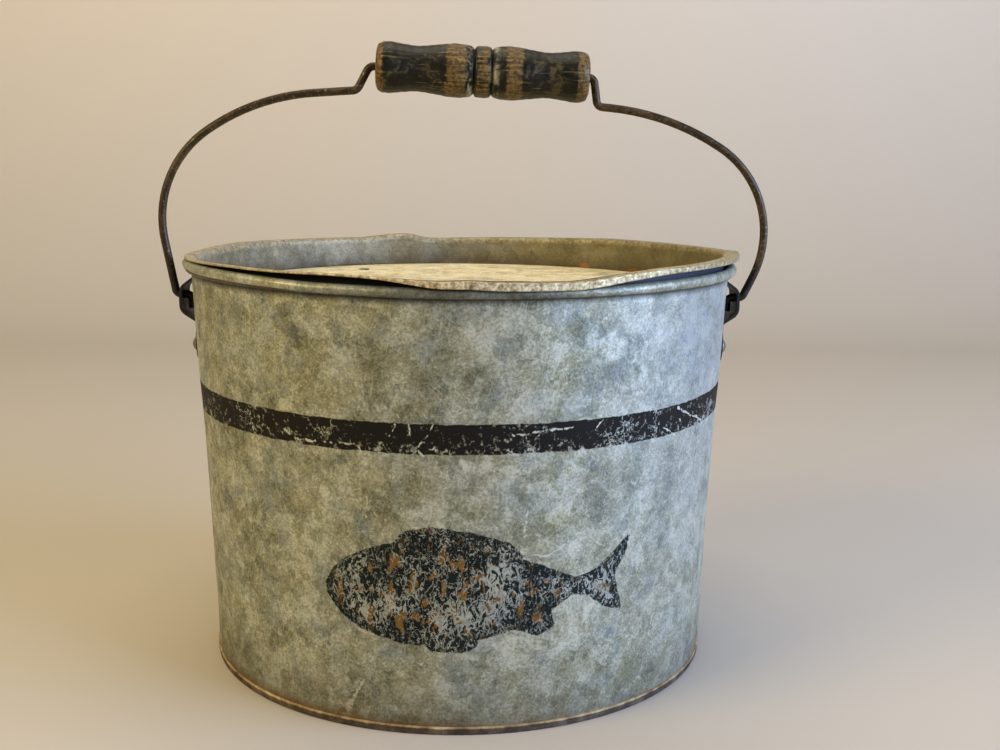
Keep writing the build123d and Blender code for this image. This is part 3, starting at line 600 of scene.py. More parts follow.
def zinc_layers(tree, where, dark, middle, light, crystal=0.0045, calm=1.0, cool="#8497a6", warm="#958b5a"):
    """Colour, share of light tone, and height of weathered zinc.

    Broad weathering, two sizes of crystal and a fine grain are added up, each times its weight. The sum lies
    about WEATHER_MIDDLE and becomes a share between dark and light. A noise of its own then leans the colour
    to cool or to warm. A calm above 1 softens both. Crystal is the size of the smaller crystals in metres.
    """
    half_range = WEATHER_RANGE * calm
    weather = add(tree, "TexNoise", [where, 8.0, 2.0])
    weather = add(tree, "Math", [weather, 0.20], operation="MULTIPLY")
    broad = add(tree, "TexNoise", [where, 62.0, 12.0, 0.76, 0.3])
    weather = add(tree, "Math", [broad, 1.0, weather], operation="MULTIPLY_ADD")
    ragged = warped(tree, where, 0.5 / crystal, 2.6 * crystal, 6.0)
    for size, weight in ((crystal, 0.20), (2.4 * crystal, 0.17)):
        cells = add(tree, "TexVoronoi", [ragged, 1 / size], out="Color")
        weather = add(tree, "Math", [cells, weight, weather], operation="MULTIPLY_ADD")
    grain = add(tree, "TexNoise", [where, 850.0, 4.0, 0.8])
    weather = add(tree, "Math", [grain, 0.95, weather], operation="MULTIPLY_ADD")
    share = add(tree, "MapRange", [weather, WEATHER_MIDDLE - half_range, WEATHER_MIDDLE + half_range])
    colour = add(tree, "ValToRGB", [share], stops=[(0.0, dark), (0.5, middle), (1.0, light)])
    lean = add(tree, "TexNoise", [ragged, 70.0, 5.0, 0.6])
    most = 0.26 / calm
    for stops, tint in (([(0.34, most), (0.50, 0.0)], cool), ([(0.52, 0.0), (0.68, most)], warm)):
        leaning = add(tree, "ValToRGB", [lean], stops=stops)
        colour = add(tree, "Mix", [leaning, colour, tint], **COLOURS)
    height = add(tree, "Math", [grain, 0.4, broad], operation="MULTIPLY_ADD")
    return colour, share, height


def dots(tree, where, spacing, radius, thick):
    """Round specks: a Voronoi cell's distance, kept near the centre, where a slow noise is above thick."""
    cell = add(tree, "TexVoronoi", [where, 1 / spacing])
    near = add(tree, "MapRange", [cell, radius / spacing, 0.6 * radius / spacing])
    where_thick = add(tree, "TexNoise", [where, 40.0, 5.0, 0.7])
    where_thick = add(tree, "MapRange", [where_thick, thick, thick + 0.06])
    return add(tree, "Math", [near, where_thick], operation="MULTIPLY")


def veins(tree, where, size, width, thick):
    """Branching hair lines: the borders of warped Voronoi cells, kept where a slow noise is above thick."""
    bent = warped(tree, where, 1.2 / size, 1.6 * size)
    border = add(tree, "TexVoronoi", [bent, 1 / size], feature="DISTANCE_TO_EDGE")
    line = add(tree, "MapRange", [border, width / size, 0.4 * width / size])
    where_thick = add(tree, "TexNoise", [where, 60.0, 4.0, 0.65])
    where_thick = add(tree, "MapRange", [where_thick, thick, thick + 0.05])
    return add(tree, "Math", [line, where_thick], operation="MULTIPLY")


def knocks(tree, unrolled, lines):
    """Single scratches, each a start, an end and the half widths there, in millimetres on the unrolled wall.

    For a point p, t = (p - a) . (b - a) / |b - a|^2, held between 0 and 1, is how far along the scratch it
    lies. The scratch covers it where its distance from a + t (b - a) is less than the half width at t.
    """
    mask = None
    unrolled = warped(tree, unrolled, 140.0, 0.0035)
    rough = add(tree, "TexNoise", [unrolled, 420.0, 5.0, 0.75])
    rough = add(tree, "MapRange", [rough, 0.40, 0.62, 0, 0.75])
    for ax, az, bx, bz, start, end in lines:
        run = (bx - ax) ** 2 + (bz - az) ** 2
        from_start = add(tree, "VectorMath", [unrolled, (ax * MM, az * MM, 0)], operation="SUBTRACT")
        step = (bx - ax, bz - az, 0)
        part = [v / run / MM for v in step]
        share = add(tree, "VectorMath", [from_start, part], out="Value", operation="DOT_PRODUCT")
        share = add(tree, "MapRange", [share])
        across = add(tree, "VectorMath", {0: [v * MM for v in step], "Scale": share}, operation="SCALE")
        away = add(tree, "VectorMath", [from_start, across], out="Value", operation="DISTANCE")
        half = add(tree, "MapRange", [share, 0, 1, start * MM, end * MM])
        half = add(tree, "Math", [rough, half], operation="MULTIPLY")
        inside = add(tree, "Math", [away, half], operation="LESS_THAN")
        mask = inside if mask is None else add(tree, "Math", [mask, inside], operation="MAXIMUM")
    return mask


def streaks(tree, unrolled, angle, length, width, cut):
    """Thin slanting rubs: noise on coordinates stretched along one direction, kept only above a cut."""
    turned = add(tree, "VectorRotate", [unrolled, math.radians(-angle)], rotation_type="Z_AXIS")
    drawn = add(tree, "Mapping", [turned, (1 / length, 1 / width, 1.0)])
    lines = add(tree, "TexNoise", [drawn, 1.0, 2.0])
    return add(tree, "ValToRGB", [lines], stops=[(cut, 0.0), (cut + 0.06, 1.0)])


# %% [markdown]
# ## The pail's wall: zinc, a painted band and the fish
# Three finishes share one sheet. The black band was brushed on while the pail turned, so its edges
# are level but not sharp, and scratches have cut through it. The fish is a thin, brittle enamel,
# blue-black with ochre touches, and has lost about a third of its area in small flakes. Paint is not
# metal and stands a little proud, so the same masks steer colour, metallic, roughness and height.
# Dirt gathers at the foot, the corner under the bead carries painted shade, and the bead's front is darker.

# %% Material of the pail's wall
wall_finish, tree = new_material("weathered_galvanised_wall")
where = add(tree, "TexCoord", out="Object")
unroll = add(tree, "UVMap", uv_map="metres")
zinc, patina, zinc_height = zinc_layers(tree, where, "#5c5e4c", "#94957d", "#c8cab8")

# Rubs in two directions, hair lines, and the few knocks that stand out: the x and z of a start and of an
# end, and the half widths there
steep = streaks(tree, unroll, 80, 0.016, 0.0007, 0.64)
slant = streaks(tree, unroll, 140, 0.012, 0.0006, 0.65)
rubs = add(tree, "Math", [steep, slant], operation="MAXIMUM")
rubs = add(tree, "Math", [rubs, 0.36], operation="MULTIPLY")
hair = veins(tree, where, 0.014, 0.00022, 0.60)
single = (
    (-41.8, 21.8, -50.5, 4.2, 0.9, 3.4), (-47.0, 86.3, -33.4, 87.2, 0.7, 0.5),
    (18.5, 81.1, 36.7, 76.9, 0.5, 1.0), (36.7, 76.9, 45.4, 82.7, 1.0, 0.7),
    (55.1, 83.1, 62.4, 77.9, 0.6, 0.8), (62.4, 77.9, 77.1, 83.5, 0.8, 0.5),
    (27.9, 100.9, 25.8, 86.2, 0.5, 1.1), (-37.7, 103.0, -38.4, 92.3, 0.5, 0.5),
    (-36.5, 101.0, -30.5, 83.3, 0.5, 0.4), (-10.3, 133.8, -18.2, 121.3, 0.5, 0.6),
    (-25.1, 133.7, -28.0, 128.2, 0.6, 0.6), (-17.7, 124.6, -15.0, 120.6, 0.7, 0.9),
    (-20.8, 133.1, -19.3, 128.6, 0.7, 0.5), (-71.3, 122.9, -42.6, 123.8, 1.1, 0.8),
    (-41.3, 125.4, -39.8, 120.5, 0.8, 0.7), (20.3, 129.1, 45.5, 130.9, 1.1, 0.9),
    (103.3, 131.9, 130.9, 120.9, 0.9, 1.2), (93.2, 124.7, 102.6, 120.2, 0.9, 0.9),
    (58.6, 133.1, 55.5, 129.2, 0.7, 0.6), (86.9, 12.6, 87.7, 12.9, 3.2, 3.2),
    (89.5, 14.5, 95.1, 38.8, 0.6, 0.5),
)
scratch = add(tree, "Math", [hair, knocks(tree, unroll, single)], operation="MAXIMUM")
bright = add(tree, "Math", [scratch, 0.8], operation="MULTIPLY")

# Pale bloom, dark pits, white specks, and pale and dark scuffs, each laid over what is there
bloom = add(tree, "TexNoise", [where, 75.0, 9.0, 0.78, 0.6])
pits = add(tree, "TexNoise", [where, 520.0, 4.0, 0.8])
scuffs = add(tree, "TexNoise", [where, 230.0, 7.0, 0.72, 1.3])
for share, tone in (
    (add(tree, "ValToRGB", [bloom], stops=[(0.57, 0.0), (0.70, 0.6)]), "#bcbcae"),
    (add(tree, "ValToRGB", [pits], stops=[(0.62, 0.0), (0.70, 0.6)]), "#45422f"),
    (dots(tree, where, 0.0036, 0.00042, 0.60), "#d5d2bd"),
    (rubs, "#cbcbba"),
    (add(tree, "ValToRGB", [scuffs], stops=[(0.60, 0.0), (0.66, 0.55)]), "#d6d5c4"),
    (add(tree, "ValToRGB", [scuffs], stops=[(0.34, 0.5), (0.40, 0.0)]), "#5b5946"),
    (bright, "#cfcdb9"),
):
    zinc = add(tree, "Mix", [share, zinc, tone], **COLOURS)

# Tones by place: a painted cool light on the right side, dirt at the foot, rust above the chime, painted
# shade in the corner under the bead and a darker bead front. Each is a product of shares, and a clamp holds
# those that pass 1.
height_up = add(tree, "SeparateXYZ", [where], out="Z")
side = add(tree, "SeparateXYZ", [where], out="X")
mottle = add(tree, "TexNoise", [where, 70.0, 8.0, 0.7])
above_foot = add(tree, "MapRange", [height_up, 0.03, 0.15, 0.15, 1.0])
below_bead = add(tree, "MapRange", [height_up, 0.1842, 0.1825, 0.15, 1.0])
on_wall = add(tree, "Math", [above_foot, below_bead], operation="MULTIPLY")
patchy = add(tree, "MapRange", [mottle, 0.38, 0.60, 0.1, 0.55])
# Painted light: the right side of the wall is made paler and cooler, as where the cool lamp falls
painted_light_right = add(tree, "MapRange", [side, 0.04, 0.115])
foot = add(tree, "MapRange", [height_up, 0.030, 0.002])
rust_line = add(tree, "MapRange", [height_up, 0.0085, 0.0032])
rust_side = add(tree, "MapRange", [side, 0.05, -0.04, 0.35, 1.5])
# Painted shade: a dark line in the corner under the bead's curl
corner = add(tree, "MapRange", [height_up, 0.1805, 0.1832])
under_bead = add(tree, "MapRange", [height_up, 0.1845, 0.1836])
# The bead's front is made darker in patches
bead_left = add(tree, "MapRange", [side, -0.075, -0.015])
bead_right = add(tree, "MapRange", [side, 0.075, 0.035])
on_bead = add(tree, "MapRange", [height_up, 0.1838, 0.1845])
for share, factors, clamp, tone in (
    (painted_light_right, (on_wall, patchy), False, "#bcc6cf"),
    (foot, (mottle,), False, "#57503a"),
    (rust_line, (mottle, rust_side), True, "#6b5129"),
    (corner, (under_bead, 0.85), False, "#24211a"),
    (bead_left, (bead_right, on_bead, mottle, 1.25), True, "#3b3b34"),
):
    for factor in factors:
        last = clamp and factor is factors[-1]
        share = add(tree, "Math", [share, factor], operation="MULTIPLY", use_clamp=last)
    zinc = add(tree, "Mix", [share, zinc, tone], **COLOURS)

# The band: level edges that wander by half a millimetre, worn through in flecks and hair lines
waver = add(tree, "TexNoise", [where, 160.0, 8.0, 0.75])
waved = add(tree, "Math", [waver, 0.0024, height_up], operation="MULTIPLY_ADD")
above = add(tree, "MapRange", [waved, 0.1222, 0.1224])
below = add(tree, "MapRange", [waved, 0.1348, 0.1346])
band = add(tree, "Math", [above, below], operation="MULTIPLY")
chips = add(tree, "TexNoise", [where, 330.0, 8.0, 0.75])
toward_foot = add(tree, "MapRange", [height_up, 0.131, 0.121, 0, 0.075])
chips = add(tree, "Math", [chips, toward_foot], operation="ADD")
chips = add(tree, "ValToRGB", [chips], stops=[(0.605, 1.0), (0.635, 0.0)])
band = add(tree, "Math", [band, chips], operation="MULTIPLY")
branches = veins(tree, where, 0.0075, 0.00022, 0.52)
cuts = add(tree, "Math", [branches, scratch], operation="MAXIMUM")
uncut = add(tree, "Math", [1.0, cuts], operation="SUBTRACT")
band = add(tree, "Math", [band, uncut], operation="MULTIPLY")

# The fish: the distance field gives the outline, and paint is missing along worm-like lines and in flecks.
# A line is where a noise crosses its middle value, so |noise - 0.5| is small there.
edge = add(tree, "Attribute", out="Fac", attribute_name="fish", attribute_type="GEOMETRY")
ragged = add(tree, "Math", [waver, 0.0035, edge], operation="MULTIPLY_ADD")
shape = add(tree, "MapRange", [ragged, 0.0016, 0.0019])
upright = add(tree, "Mapping", [unroll, (1 / 0.0030, 1 / 0.0052, 1.0)])  # 3 by 5 mm
worm = add(tree, "TexNoise", [upright, 1.0, 4.0, 0.62, 0.6])
worm = add(tree, "Math", [worm, 0.5], operation="SUBTRACT")
worm = add(tree, "Math", [worm], operation="ABSOLUTE")
patch = add(tree, "TexNoise", [where, 62.0, 4.0, 0.6])
opened = add(tree, "MapRange", [patch, 0.38, 0.66, 0.006, 0.070])
border = add(tree, "MapRange", [edge, 0.001, 0.006, 0.25, 1.0])
opened = add(tree, "Math", [opened, border], operation="MULTIPLY")
kept = add(tree, "Math", [worm, opened], operation="GREATER_THAN")
fleck = add(tree, "TexNoise", [where, 620.0, 5.0, 0.7])
fleck = add(tree, "ValToRGB", [fleck], stops=[(0.585, 1.0), (0.600, 0.0)])
kept = add(tree, "Math", [kept, fleck], operation="MULTIPLY")
fish_paint = add(tree, "Math", [shape, kept], operation="MULTIPLY")
tall = add(tree, "Mapping", [unroll, (1 / 0.0045, 1 / 0.0080, 1.0)])
touch = add(tree, "TexNoise", [tall, 1.0, 2.0])
touch = add(tree, "ValToRGB", [touch], stops=[(0.56, 0.0), (0.58, 1.0)])
inner = add(tree, "MapRange", [edge, 0.003, 0.006, 0.2])
touch = add(tree, "Math", [touch, inner], operation="MULTIPLY")
enamel = add(tree, "ValToRGB", [patch], stops=[(0.38, "#0b1312"), (0.62, "#17201b")])
enamel = add(tree, "Mix", [touch, enamel, "#70501f"], **COLOURS)
under_paint = add(tree, "Math", [shape, 0.5], operation="MULTIPLY")
zinc = add(tree, "Mix", [under_paint, zinc, "#98a0a0"], **COLOURS)

# Put the finishes together: paint has no metal in it, is a little rougher and stands proud
colour = add(tree, "Mix", [band, zinc, "#14110c"], **COLOURS)
colour = add(tree, "Mix", [fish_paint, colour, enamel], **COLOURS)
paint = add(tree, "Math", [band, fish_paint], operation="MAXIMUM")
metal = add(tree, "MapRange", [paint, 0, 1, 0.55, 0.0])
rough = add(tree, "MapRange", [patina, 0, 1, 0.62, 0.42])
rough = add(tree, "Mix", {0: paint, 2: rough, 3: 0.6})
height = add(tree, "Math", [paint, 0.5, zinc_height], operation="MULTIPLY_ADD")
height = add(tree, "Math", [scratch, -0.35, height], operation="MULTIPLY_ADD")
normal = add(tree, "Bump", [height, 0.5, 0.00018])
inputs = {"Base Color": colour, "Metallic": metal, "Roughness": rough, "Normal": normal}
finish_with(tree, inputs | {"Specular IOR Level": 0.15})
dress(pail_sheet, wall_finish)

# %% [markdown]
# ## The collar, the deck and the inside
# The collar is the same zinc, turning darker brown towards the corner by the deck, and a painted shade turns
# its right side olive. Hands have rubbed its hem to a warm, speckled tone, its front crease is darker, and
# the underside of its fold carries painted shade, nearly black, that turns to a painted blue-grey light on
# the right. Those three follow the numbers on the collar's vertices. The deck itself has been washed pale,
# with a dark spot of painted shade for a small slot. Inside the floating bucket the sheet has kept more of
# its shine.

# %% Materials of the inner bucket


def zinc_finish(
    name, tones, metallic=0.6, rough=(0.58, 0.42), darkening=None, speck="#8a5a26", calm=1.0, cool="#8497a6",
    hem=False, spots=(),
):
    """A weathered zinc material, from a dark, a middle and a light tone.

    Darkening is the heights where the colour starts to darken and is darkest, in metres, and its colour. A
    spot is a centre and half axes in millimetres and a colour. With p the place less the centre, each part
    over its half axis, the spot covers p where the length of p, made ragged by a noise, is below 1.
    """
    material, tree = new_material(name)
    where = add(tree, "TexCoord", out="Object")
    colour, share, height = zinc_layers(tree, where, *tones, 0.005, calm, cool)
    if hem:
        # Painted shade: the collar turns a darker olive towards its right side
        across = add(tree, "SeparateXYZ", [where], out="X")
        painted_shade_right = add(tree, "MapRange", [across, -0.10, 0.09, 0, 0.58])
        colour = add(tree, "Mix", [painted_shade_right, colour, "#5a542f"], **COLOURS)
    rust_noise = add(tree, "TexNoise", [where, 210.0, 7.0, 0.75])
    rust = add(tree, "ValToRGB", [rust_noise], stops=[(0.655, 0.0), (0.70, 0.8)])
    colour = add(tree, "Mix", [rust, colour, speck], **COLOURS)
    if darkening:
        start, end, tone = darkening
        height_up = add(tree, "SeparateXYZ", [where], out="Z")
        near = add(tree, "MapRange", [height_up, start, end])
        # The darkening ends 3 mm below its darkest height, because the deck lies there
        still_above = add(tree, "MapRange", [height_up, end - 0.003, end - 0.001])
        spread = add(tree, "TexNoise", [where, 60.0, 7.0, 0.7])
        for factor in (still_above, spread):
            near = add(tree, "Math", [near, factor], operation="MULTIPLY")
        near = add(tree, "Math", [near, 1.6], operation="MULTIPLY", use_clamp=True)
        colour = add(tree, "Mix", [near, colour, tone], **COLOURS)
    if hem:
        handled, crease, under_fold_shade = (
            add(tree, "Attribute", out="Fac", attribute_name=part, attribute_type="GEOMETRY")
            for part in ("handled", "creased", "painted_fold_shade")
        )
        handled = add(tree, "Math", [handled, 0.8], operation="MULTIPLY")
        speckle = add(tree, "TexNoise", [where, 480.0, 6.0, 0.75])
        golden_stops = [(0.36, "#5d5030"), (0.49, "#bda878"), (0.62, "#f8ecc4")]
        golden = add(tree, "ValToRGB", [speckle], stops=golden_stops)
        crease = add(tree, "Math", [crease, 1.3], operation="MULTIPLY", use_clamp=True)
        # Painted shade under the fold: a painted blue-grey light where the share is half, near-black where it
        # is full
        shade = add(tree, "ValToRGB", [under_fold_shade], stops=[(0.5, "#3b424f"), (0.9, "#100d08")])
        under_fold_shade = add(tree, "MapRange", [under_fold_shade, 0, 0.5, 0, 0.95])
        for cover, tone in ((handled, golden), (crease, "#2a2416"), (under_fold_shade, shade)):
            colour = add(tree, "Mix", [cover, colour, tone], **COLOURS)
    for centre, half_axes, tone in spots:
        away = add(tree, "VectorMath", [where, [value * MM for value in centre]], operation="SUBTRACT")
        shrink = [1 / (value * MM) for value in half_axes]
        away = add(tree, "VectorMath", [away, shrink], operation="MULTIPLY")
        away = add(tree, "VectorMath", [away], out="Value", operation="LENGTH")
        away = add(tree, "Math", [rust_noise, 3.0, away], operation="MULTIPLY_ADD")
        spot = add(tree, "MapRange", [away, 2.55, 2.35])
        colour = add(tree, "Mix", [spot, colour, tone], **COLOURS)
    rough = add(tree, "MapRange", [share, 0, 1, rough[0], rough[1]])
    normal = add(tree, "Bump", [height, 0.45, 0.00016])
    finish_with(tree, {"Base Color": colour, "Metallic": metallic, "Roughness": rough, "Normal": normal})
    return material


collar_finish = zinc_finish(
    "weathered_galvanised_collar", ("#524e3a", "#867e63", "#ada588"), metallic=0.42, rough=(0.62, 0.50),
    darkening=(0.183, 0.1735, "#43371f"), calm=1.3, cool="#858d90", hem=True,
    spots=(
        ((69.5, 101.0, 175.6), (3.0, 4.0, 1.4), "#8f6122"),
        ((94.0, 79.0, 175.4), (4.0, 4.0, 0.9), "#7a5524"),
    ),
)
# The dark spot on the deck is painted shade for a small slot
deck_finish = zinc_finish(
    "pale_zinc_deck", ("#b5a574", "#ecdca8", "#fcf1c8"), metallic=0.08, rough=(0.66, 0.55),
    speck="#7a5a30", calm=0.9, spots=(((-53.2, 84.5, 174.5), (3.6, 4.5, 2.0), "#1d160c"),),
)
inner_finish = zinc_finish("inner_galvanised_sheet", ("#6f716c", "#8f928c", "#adb0a9"), metallic=0.7)
basket_finish = zinc_finish(
    "perforated_galvanised_sheet", ("#6b6c66", "#8b8d85", "#a9aaa2"), metallic=0.65
)
door_finish = zinc_finish("galvanised_door", ("#8f8a76", "#b4ae98", "#cec9b6"), metallic=0.5)
dress(collar_sheet, collar_finish)
dress(deck_solder, collar_finish)
for finish, names in (
    (deck_finish, ("deck_plate",)),
    (inner_finish, ("float_throat", "float_floor")),
    (basket_finish, ("basket_wall", "basket_bottom")),
    (door_finish, ("door_panel",)),
):
    for name in names:
        dress(nodes[name], finish)

# %% [markdown]
# ## Iron: ears, rivets, wire and hinges
# The small fittings were never galvanised as well as the sheet. Their finish goes from bright metal on
# the crests through dark oxide to brown rust in the hollows. One function makes them all, with the
# tones and the share of rust as its inputs. The bail's hooked ends are darkened to near-black as painted
# shade where they sit in the ears, and the ears are near-black, partly dark oxide and partly painted shade.

# %% Materials of the iron parts


def iron_finish(name, oxide, rust, bare, rusty=0.5, shiny=0.5, metallic=0.7, rough=(0.42, 0.72), shade_below=None):
    """Aged iron: rusty sets how much of a slow noise is rust, shiny how much of a quick one is bare metal.

    Below a height given in metres, the iron blackens over 8 mm, as painted shade.
    """
    material, tree = new_material(name)
    where = add(tree, "TexCoord", out="Object")
    slow = add(tree, "TexNoise", [where, 160.0, 8.0, 0.68, 0.4])
    quick = add(tree, "TexNoise", [where, 800.0, 5.0, 0.7])
    reddish = add(tree, "MapRange", [slow, 0.72 - 0.45 * rusty, 0.84 - 0.45 * rusty])
    colour = add(tree, "Mix", [reddish, oxide, rust], **COLOURS)
    flecks = add(tree, "MapRange", [quick, 0.76 - 0.4 * shiny, 0.84 - 0.4 * shiny])
    dry = add(tree, "Math", [1.0, reddish], operation="SUBTRACT")
    flecks = add(tree, "Math", [flecks, dry], operation="MULTIPLY")
    colour = add(tree, "Mix", [flecks, colour, bare], **COLOURS)
    if shade_below:
        low = add(tree, "SeparateXYZ", [where], out="Z")
        low = add(tree, "MapRange", [low, shade_below, shade_below - 0.008, 0, 0.9])
        colour = add(tree, "Mix", [low, colour, "#0b0805"], **COLOURS)
    metal = add(tree, "MapRange", [reddish, 0, 1, metallic, 0.12])
    roughness = add(tree, "MapRange", [reddish, 0, 1, rough[0], rough[1]])
    height = add(tree, "Math", [quick, 0.5, slow], operation="MULTIPLY_ADD")
    normal = add(tree, "Bump", [height, 0.5, 0.00022])
    finish_with(tree, {"Base Color": colour, "Metallic": metal, "Roughness": roughness, "Normal": normal})
    return material


# Painted shade: the bail wire turns near-black below 184 mm, on the hooked ends inside the ears
wire_finish = iron_finish(
    "rusty_bail_wire", "#2c200b", "#4a340e", "#a8905c", rusty=0.50, shiny=0.42, metallic=0.4,
    rough=(0.40, 0.62), shade_below=0.184,
)
# The ears are near-black: partly their own dark oxide, partly painted shade for their hollow insides
ear_finish = iron_finish(
    "dark_ear_steel", "#0d0b07", "#1c150a", "#453d2b", rusty=0.35, shiny=0.40, metallic=0.2,
    rough=(0.55, 0.75),
)
rivet_finish = iron_finish("rivet_steel", "#6d6552", "#5b4322", "#a39c88", rusty=0.35, shiny=0.6)
rim_finish = iron_finish("rim_wire_steel", "#4c463a", "#5b4020", "#8e8672")
hinge_finish = iron_finish("hinge_steel", "#77715f", "#6a4a22", "#b0a994", rusty=0.3, shiny=0.6)
spring_finish = iron_finish("spring_steel", "#6f6c62", "#5f4526", "#b5b1a4", rusty=0.2, shiny=0.7)
plain_wire_finish = iron_finish("plain_bail_wire", "#7d796c", "#63461f", "#b8b4a6", rusty=0.3, shiny=0.6)
for finish, names in (
    (wire_finish, ("bail_wire",)),
    (ear_finish, ("ear_left", "ear_right")),
    (rim_finish, ("rim_wire",)),
    (hinge_finish, ("deck_hinge_leaf", "door_hinge_leaf", "hinge_pin")),
    (spring_finish, ("door_catch",)),
    (plain_wire_finish, ("bail_lug_left", "bail_lug_right", "insert_bail_wire")),
    (rivet_finish, ("ear_rivets_left", "ear_rivets_right", "bail_lug_rivets")),
    (rivet_finish, ("deck_hinge_rivets", "door_hinge_rivets")),
):
    for name in names:
        dress(nodes[name], finish)

# %% [markdown]
# ## The chime
# The bottom is locked to the wall by a folded edge. Its crest is pale: partly metal rubbed bright under a
# film of new rust, partly a painted highlight. Below the crest it is dark with old dirt. Height above the
# floor tells the two apart.

# %% Material of the bottom
chime_finish, tree = new_material("rusty_galvanised_bottom")
where = add(tree, "TexCoord", out="Object")
place = add(tree, "SeparateXYZ", [where], out="Z")
blotch = add(tree, "TexNoise", [where, 120.0, 8.0, 0.72])
old = add(tree, "ValToRGB", [blotch], stops=[(0.36, "#2b241b"), (0.52, "#4c4031"), (0.68, "#6f6452")])
# Painted highlight with rubbed metal and rust: a pale band along the crest of the fold
rust_and_highlight_stops = [(0.36, "#7b5c35"), (0.52, "#b59a6c"), (0.68, "#dcc9a0")]
rust_and_highlight = add(tree, "ValToRGB", [blotch], stops=rust_and_highlight_stops)
wandering = add(tree, "Math", [blotch, 0.0012, place], operation="MULTIPLY_ADD")
crest = add(tree, "MapRange", [wandering, 0.0033, 0.0038])
inside = add(tree, "MapRange", [place, 0.0050, 0.0044])
crest = add(tree, "Math", [crest, inside], operation="MULTIPLY")
colour = add(tree, "Mix", [crest, old, rust_and_highlight], **COLOURS)
rough = add(tree, "MapRange", [blotch, 0.4, 0.6, 0.7, 0.5])
normal = add(tree, "Bump", [blotch, 0.5, 0.0003])
finish_with(tree, {"Base Color": colour, "Metallic": 0.25, "Roughness": rough, "Normal": normal})
dress(nodes["pail_bottom"], chime_finish)

# %% [markdown]
# ## Black paint worn from wood
# The grip's colour depends on where along it one looks. Its UV map holds metres round and along the
# axis, so a ramp from one end to the other says how worn each place is, and noise drawn out along the
# grain breaks up the borders. Beside the grooves the paint is rubbed to a pale grey in patches.

# %% Material of the grip
grip_finish, tree = new_material("worn_painted_wood")
where = add(tree, "TexCoord", out="Object")
unroll = add(tree, "UVMap", uv_map="metres")
axis = add(tree, "SeparateXYZ", [unroll], out="Y")
grain_place = add(tree, "Mapping", [unroll, (1 / 0.0012, 1 / 0.016, 1.0)])
grain = add(tree, "TexNoise", [grain_place, 1.0, 6.0, 0.62])
share = add(tree, "MapRange", [axis, -0.05, 0.05])
wear_stops = [
    (0.0, 0.95), (0.012, 0.75), (0.05, 0.32), (0.15, 0.28), (0.20, 0.42), (0.27, 0.36), (0.32, 0.40),
    (0.35, 0.70), (0.41, 0.66), (0.44, 0.22), (0.462, 0.24), (0.475, 0.52), (0.53, 0.50), (0.545, 0.22),
    (0.60, 0.34), (0.63, 0.72), (0.67, 0.66), (0.70, 0.30), (0.88, 0.27), (0.935, 0.36), (0.955, 0.70),
    (1.0, 0.95),
]
wear = add(tree, "ValToRGB", [share], stops=wear_stops)
blotch = add(tree, "TexNoise", [where, 150.0, 8.0, 0.7, 0.7])
rubbed = add(tree, "Math", [grain, blotch], operation="ADD")
rubbed = add(tree, "Math", [rubbed, 0.55, wear], operation="MULTIPLY_ADD")
bare = add(tree, "MapRange", [rubbed, 0.98, 1.10])
wood = add(tree, "ValToRGB", [grain], stops=[(0.30, "#35280f"), (0.50, "#6c542a"), (0.75, "#9a7e45")])
dirt = add(tree, "TexNoise", [where, 700.0, 4.0])
dirt = add(tree, "ValToRGB", [dirt], stops=[(0.40, 0.75), (0.54, 0.0)])
wood = add(tree, "Mix", [dirt, wood, "#2e2310"], **COLOURS)
paint = add(tree, "ValToRGB", [blotch], stops=[(0.38, "#0a0903"), (0.52, "#171409"), (0.64, "#4c4224")])
scores = add(tree, "ValToRGB", [grain], stops=[(0.60, 0.0), (0.68, 0.55)])
paint = add(tree, "Mix", [scores, paint, "#6d6748"], **COLOURS)
rubbed_stops = [
    (0.415, 0.0), (0.435, 0.6), (0.447, 0.7), (0.452, 0.0), (0.548, 0.0), (0.553, 0.7), (0.562, 0.6),
    (0.580, 0.0),
]
rubbed_edges = add(tree, "ValToRGB", [share], stops=rubbed_stops)
patchy = add(tree, "MapRange", [blotch, 0.46, 0.58])
rubbed_edges = add(tree, "Math", [rubbed_edges, patchy], operation="MULTIPLY")
paint = add(tree, "Mix", [rubbed_edges, paint, "#b4b08c"], **COLOURS)
colour = add(tree, "Mix", [bare, paint, wood], **COLOURS)
rough = add(tree, "MapRange", [blotch, 0.35, 0.65, 0.28, 0.55])
height = add(tree, "Math", [bare, -0.5, grain], operation="MULTIPLY_ADD")
normal = add(tree, "Bump", [height, 0.6, 0.0003])
finish_with(tree, {"Base Color": colour, "Roughness": rough, "Normal": normal, "Specular IOR Level": 0.28})
dress(turned_grip, grip_finish)

# %% [markdown]
# ## What rides on what
# Each new piece moves with one body of the CAD model. Three of them stand for a node of that model,
# which stays in the frame, where the physics uses it, but is hidden. The solder is only added.

# %% Bodies, slots and replaced nodes
for piece, body, slot in (
    (pail_sheet, "pail", "weathered_galvanised_wall"),
    (collar_sheet, "insert", "weathered_galvanised_collar"),
    (deck_solder, "insert", "weathered_galvanised_collar"),
    (turned_grip, "grip", "worn_painted_wood"),
):
    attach(piece, body)
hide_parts("pail_wall")
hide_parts("insert_collar")
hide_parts("wood_grip")

# %% [markdown]
# ## Floor and light
# The floor sweeps up behind the pail in one curve, like paper in a studio, so there is no horizon.
# A warm, wide light stands high on the left, a cooler and larger one on the right gives the zinc its
# blue edge, and a soft top light opens the inside. Two weak, wide lamps behind the pail face the
# paper, a warm one on the left and a cool one on the right, and even it out half-way up.

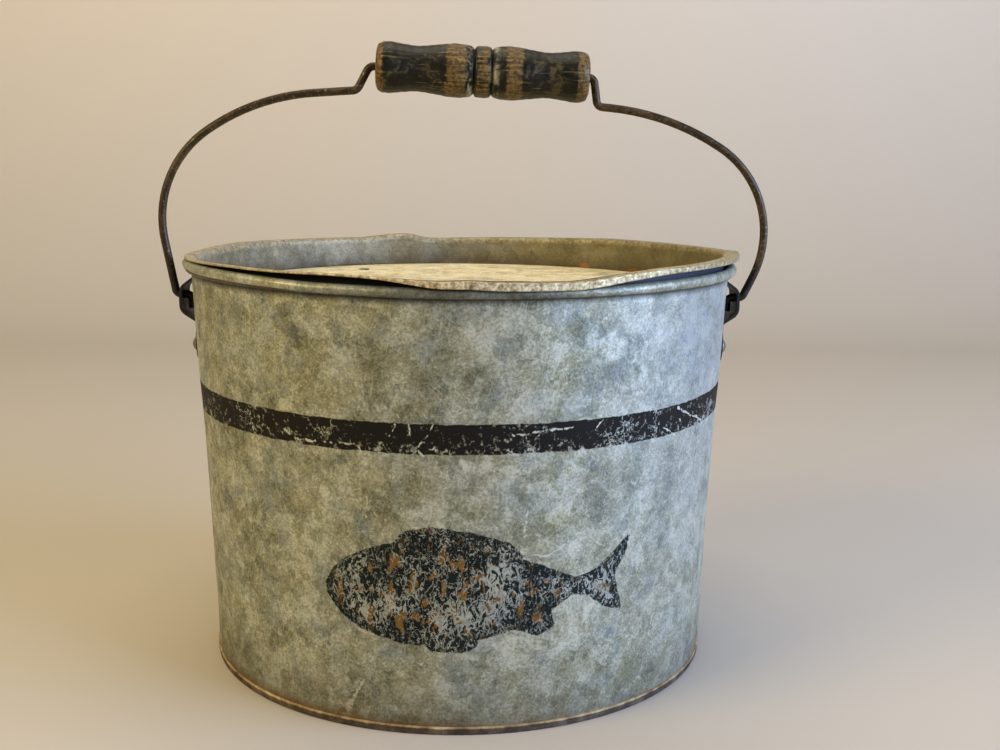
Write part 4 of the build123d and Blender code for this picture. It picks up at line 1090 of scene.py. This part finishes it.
# %% Floor
bend_turn = np.linspace(0, math.pi / 2, 24)
floor_y = np.concatenate([np.linspace(-2.4, 0.9, 12), 0.9 + 0.7 * np.sin(bend_turn[1:]), np.full(6, 1.6)])
floor_z = np.concatenate([np.zeros(12), 0.7 * (1 - np.cos(bend_turn[1:])), np.linspace(0.9, 2.6, 6)])
floor_x = np.linspace(-3.2, 3.2, 9)
f_y, f_x = np.meshgrid(floor_y, floor_x, indexing="ij")
floor_points = np.stack([f_x, f_y, np.repeat(floor_z[:, None], 9, 1)], -1)
studio_floor = grid_piece("studio_floor", floor_points, wrap_rows=False, wrap_columns=False)
floor_finish, tree = new_material("pale_paper")
finish_with(tree, {"Base Color": "#c0b7a6", "Roughness": 0.85})
dress(studio_floor, floor_finish)

# %% Lights


def area_light(name, place, target, size, watts, colour):
    """An area light at a place, facing a target, of a width and height in metres and a power in watts."""
    light = bpy.data.lights.new(name, "AREA")
    light.shape = "RECTANGLE"
    light.size, light.size_y = size
    light.energy = watts
    light.color = linear(colour)[:3]
    lamp = bpy.data.objects.new(name, light)
    lamp.location = place
    lamp.rotation_euler = (Vector(target) - Vector(place)).to_track_quat("-Z", "Y").to_euler()
    scene.collection.objects.link(lamp)


area_light("warm_left", (-1.35, -0.8, 0.95), (0, 0, 0.12), (0.9, 0.9), 20.0, "#ffe3a6")
area_light("cool_right", (1.35, -0.62, 0.55), (0, 0, 0.14), (1.2, 0.9), 41.0, "#b4ccff")
area_light("soft_top", (-0.1, 0.1, 1.7), (0, 0, 0.1), (1.2, 1.2), 12.0, "#fff3dc")
area_light("backdrop_warm", (-0.75, 1.12, 0.95), (-0.75, 1.6, 0.85), (1.5, 0.3), 4.2, "#ffe9c8")
area_light("backdrop_cool", (0.85, 1.12, 0.95), (0.85, 1.6, 0.85), (1.5, 0.3), 5.0, "#dfe5ff")

world = bpy.data.worlds.new("studio_air")
world.use_nodes = True
scene.world = world
air = world.node_tree.nodes["Background"].inputs
air["Color"].default_value = linear("#dedad4")
air["Strength"].default_value = 0.32
scene.view_settings.view_transform = "Standard"
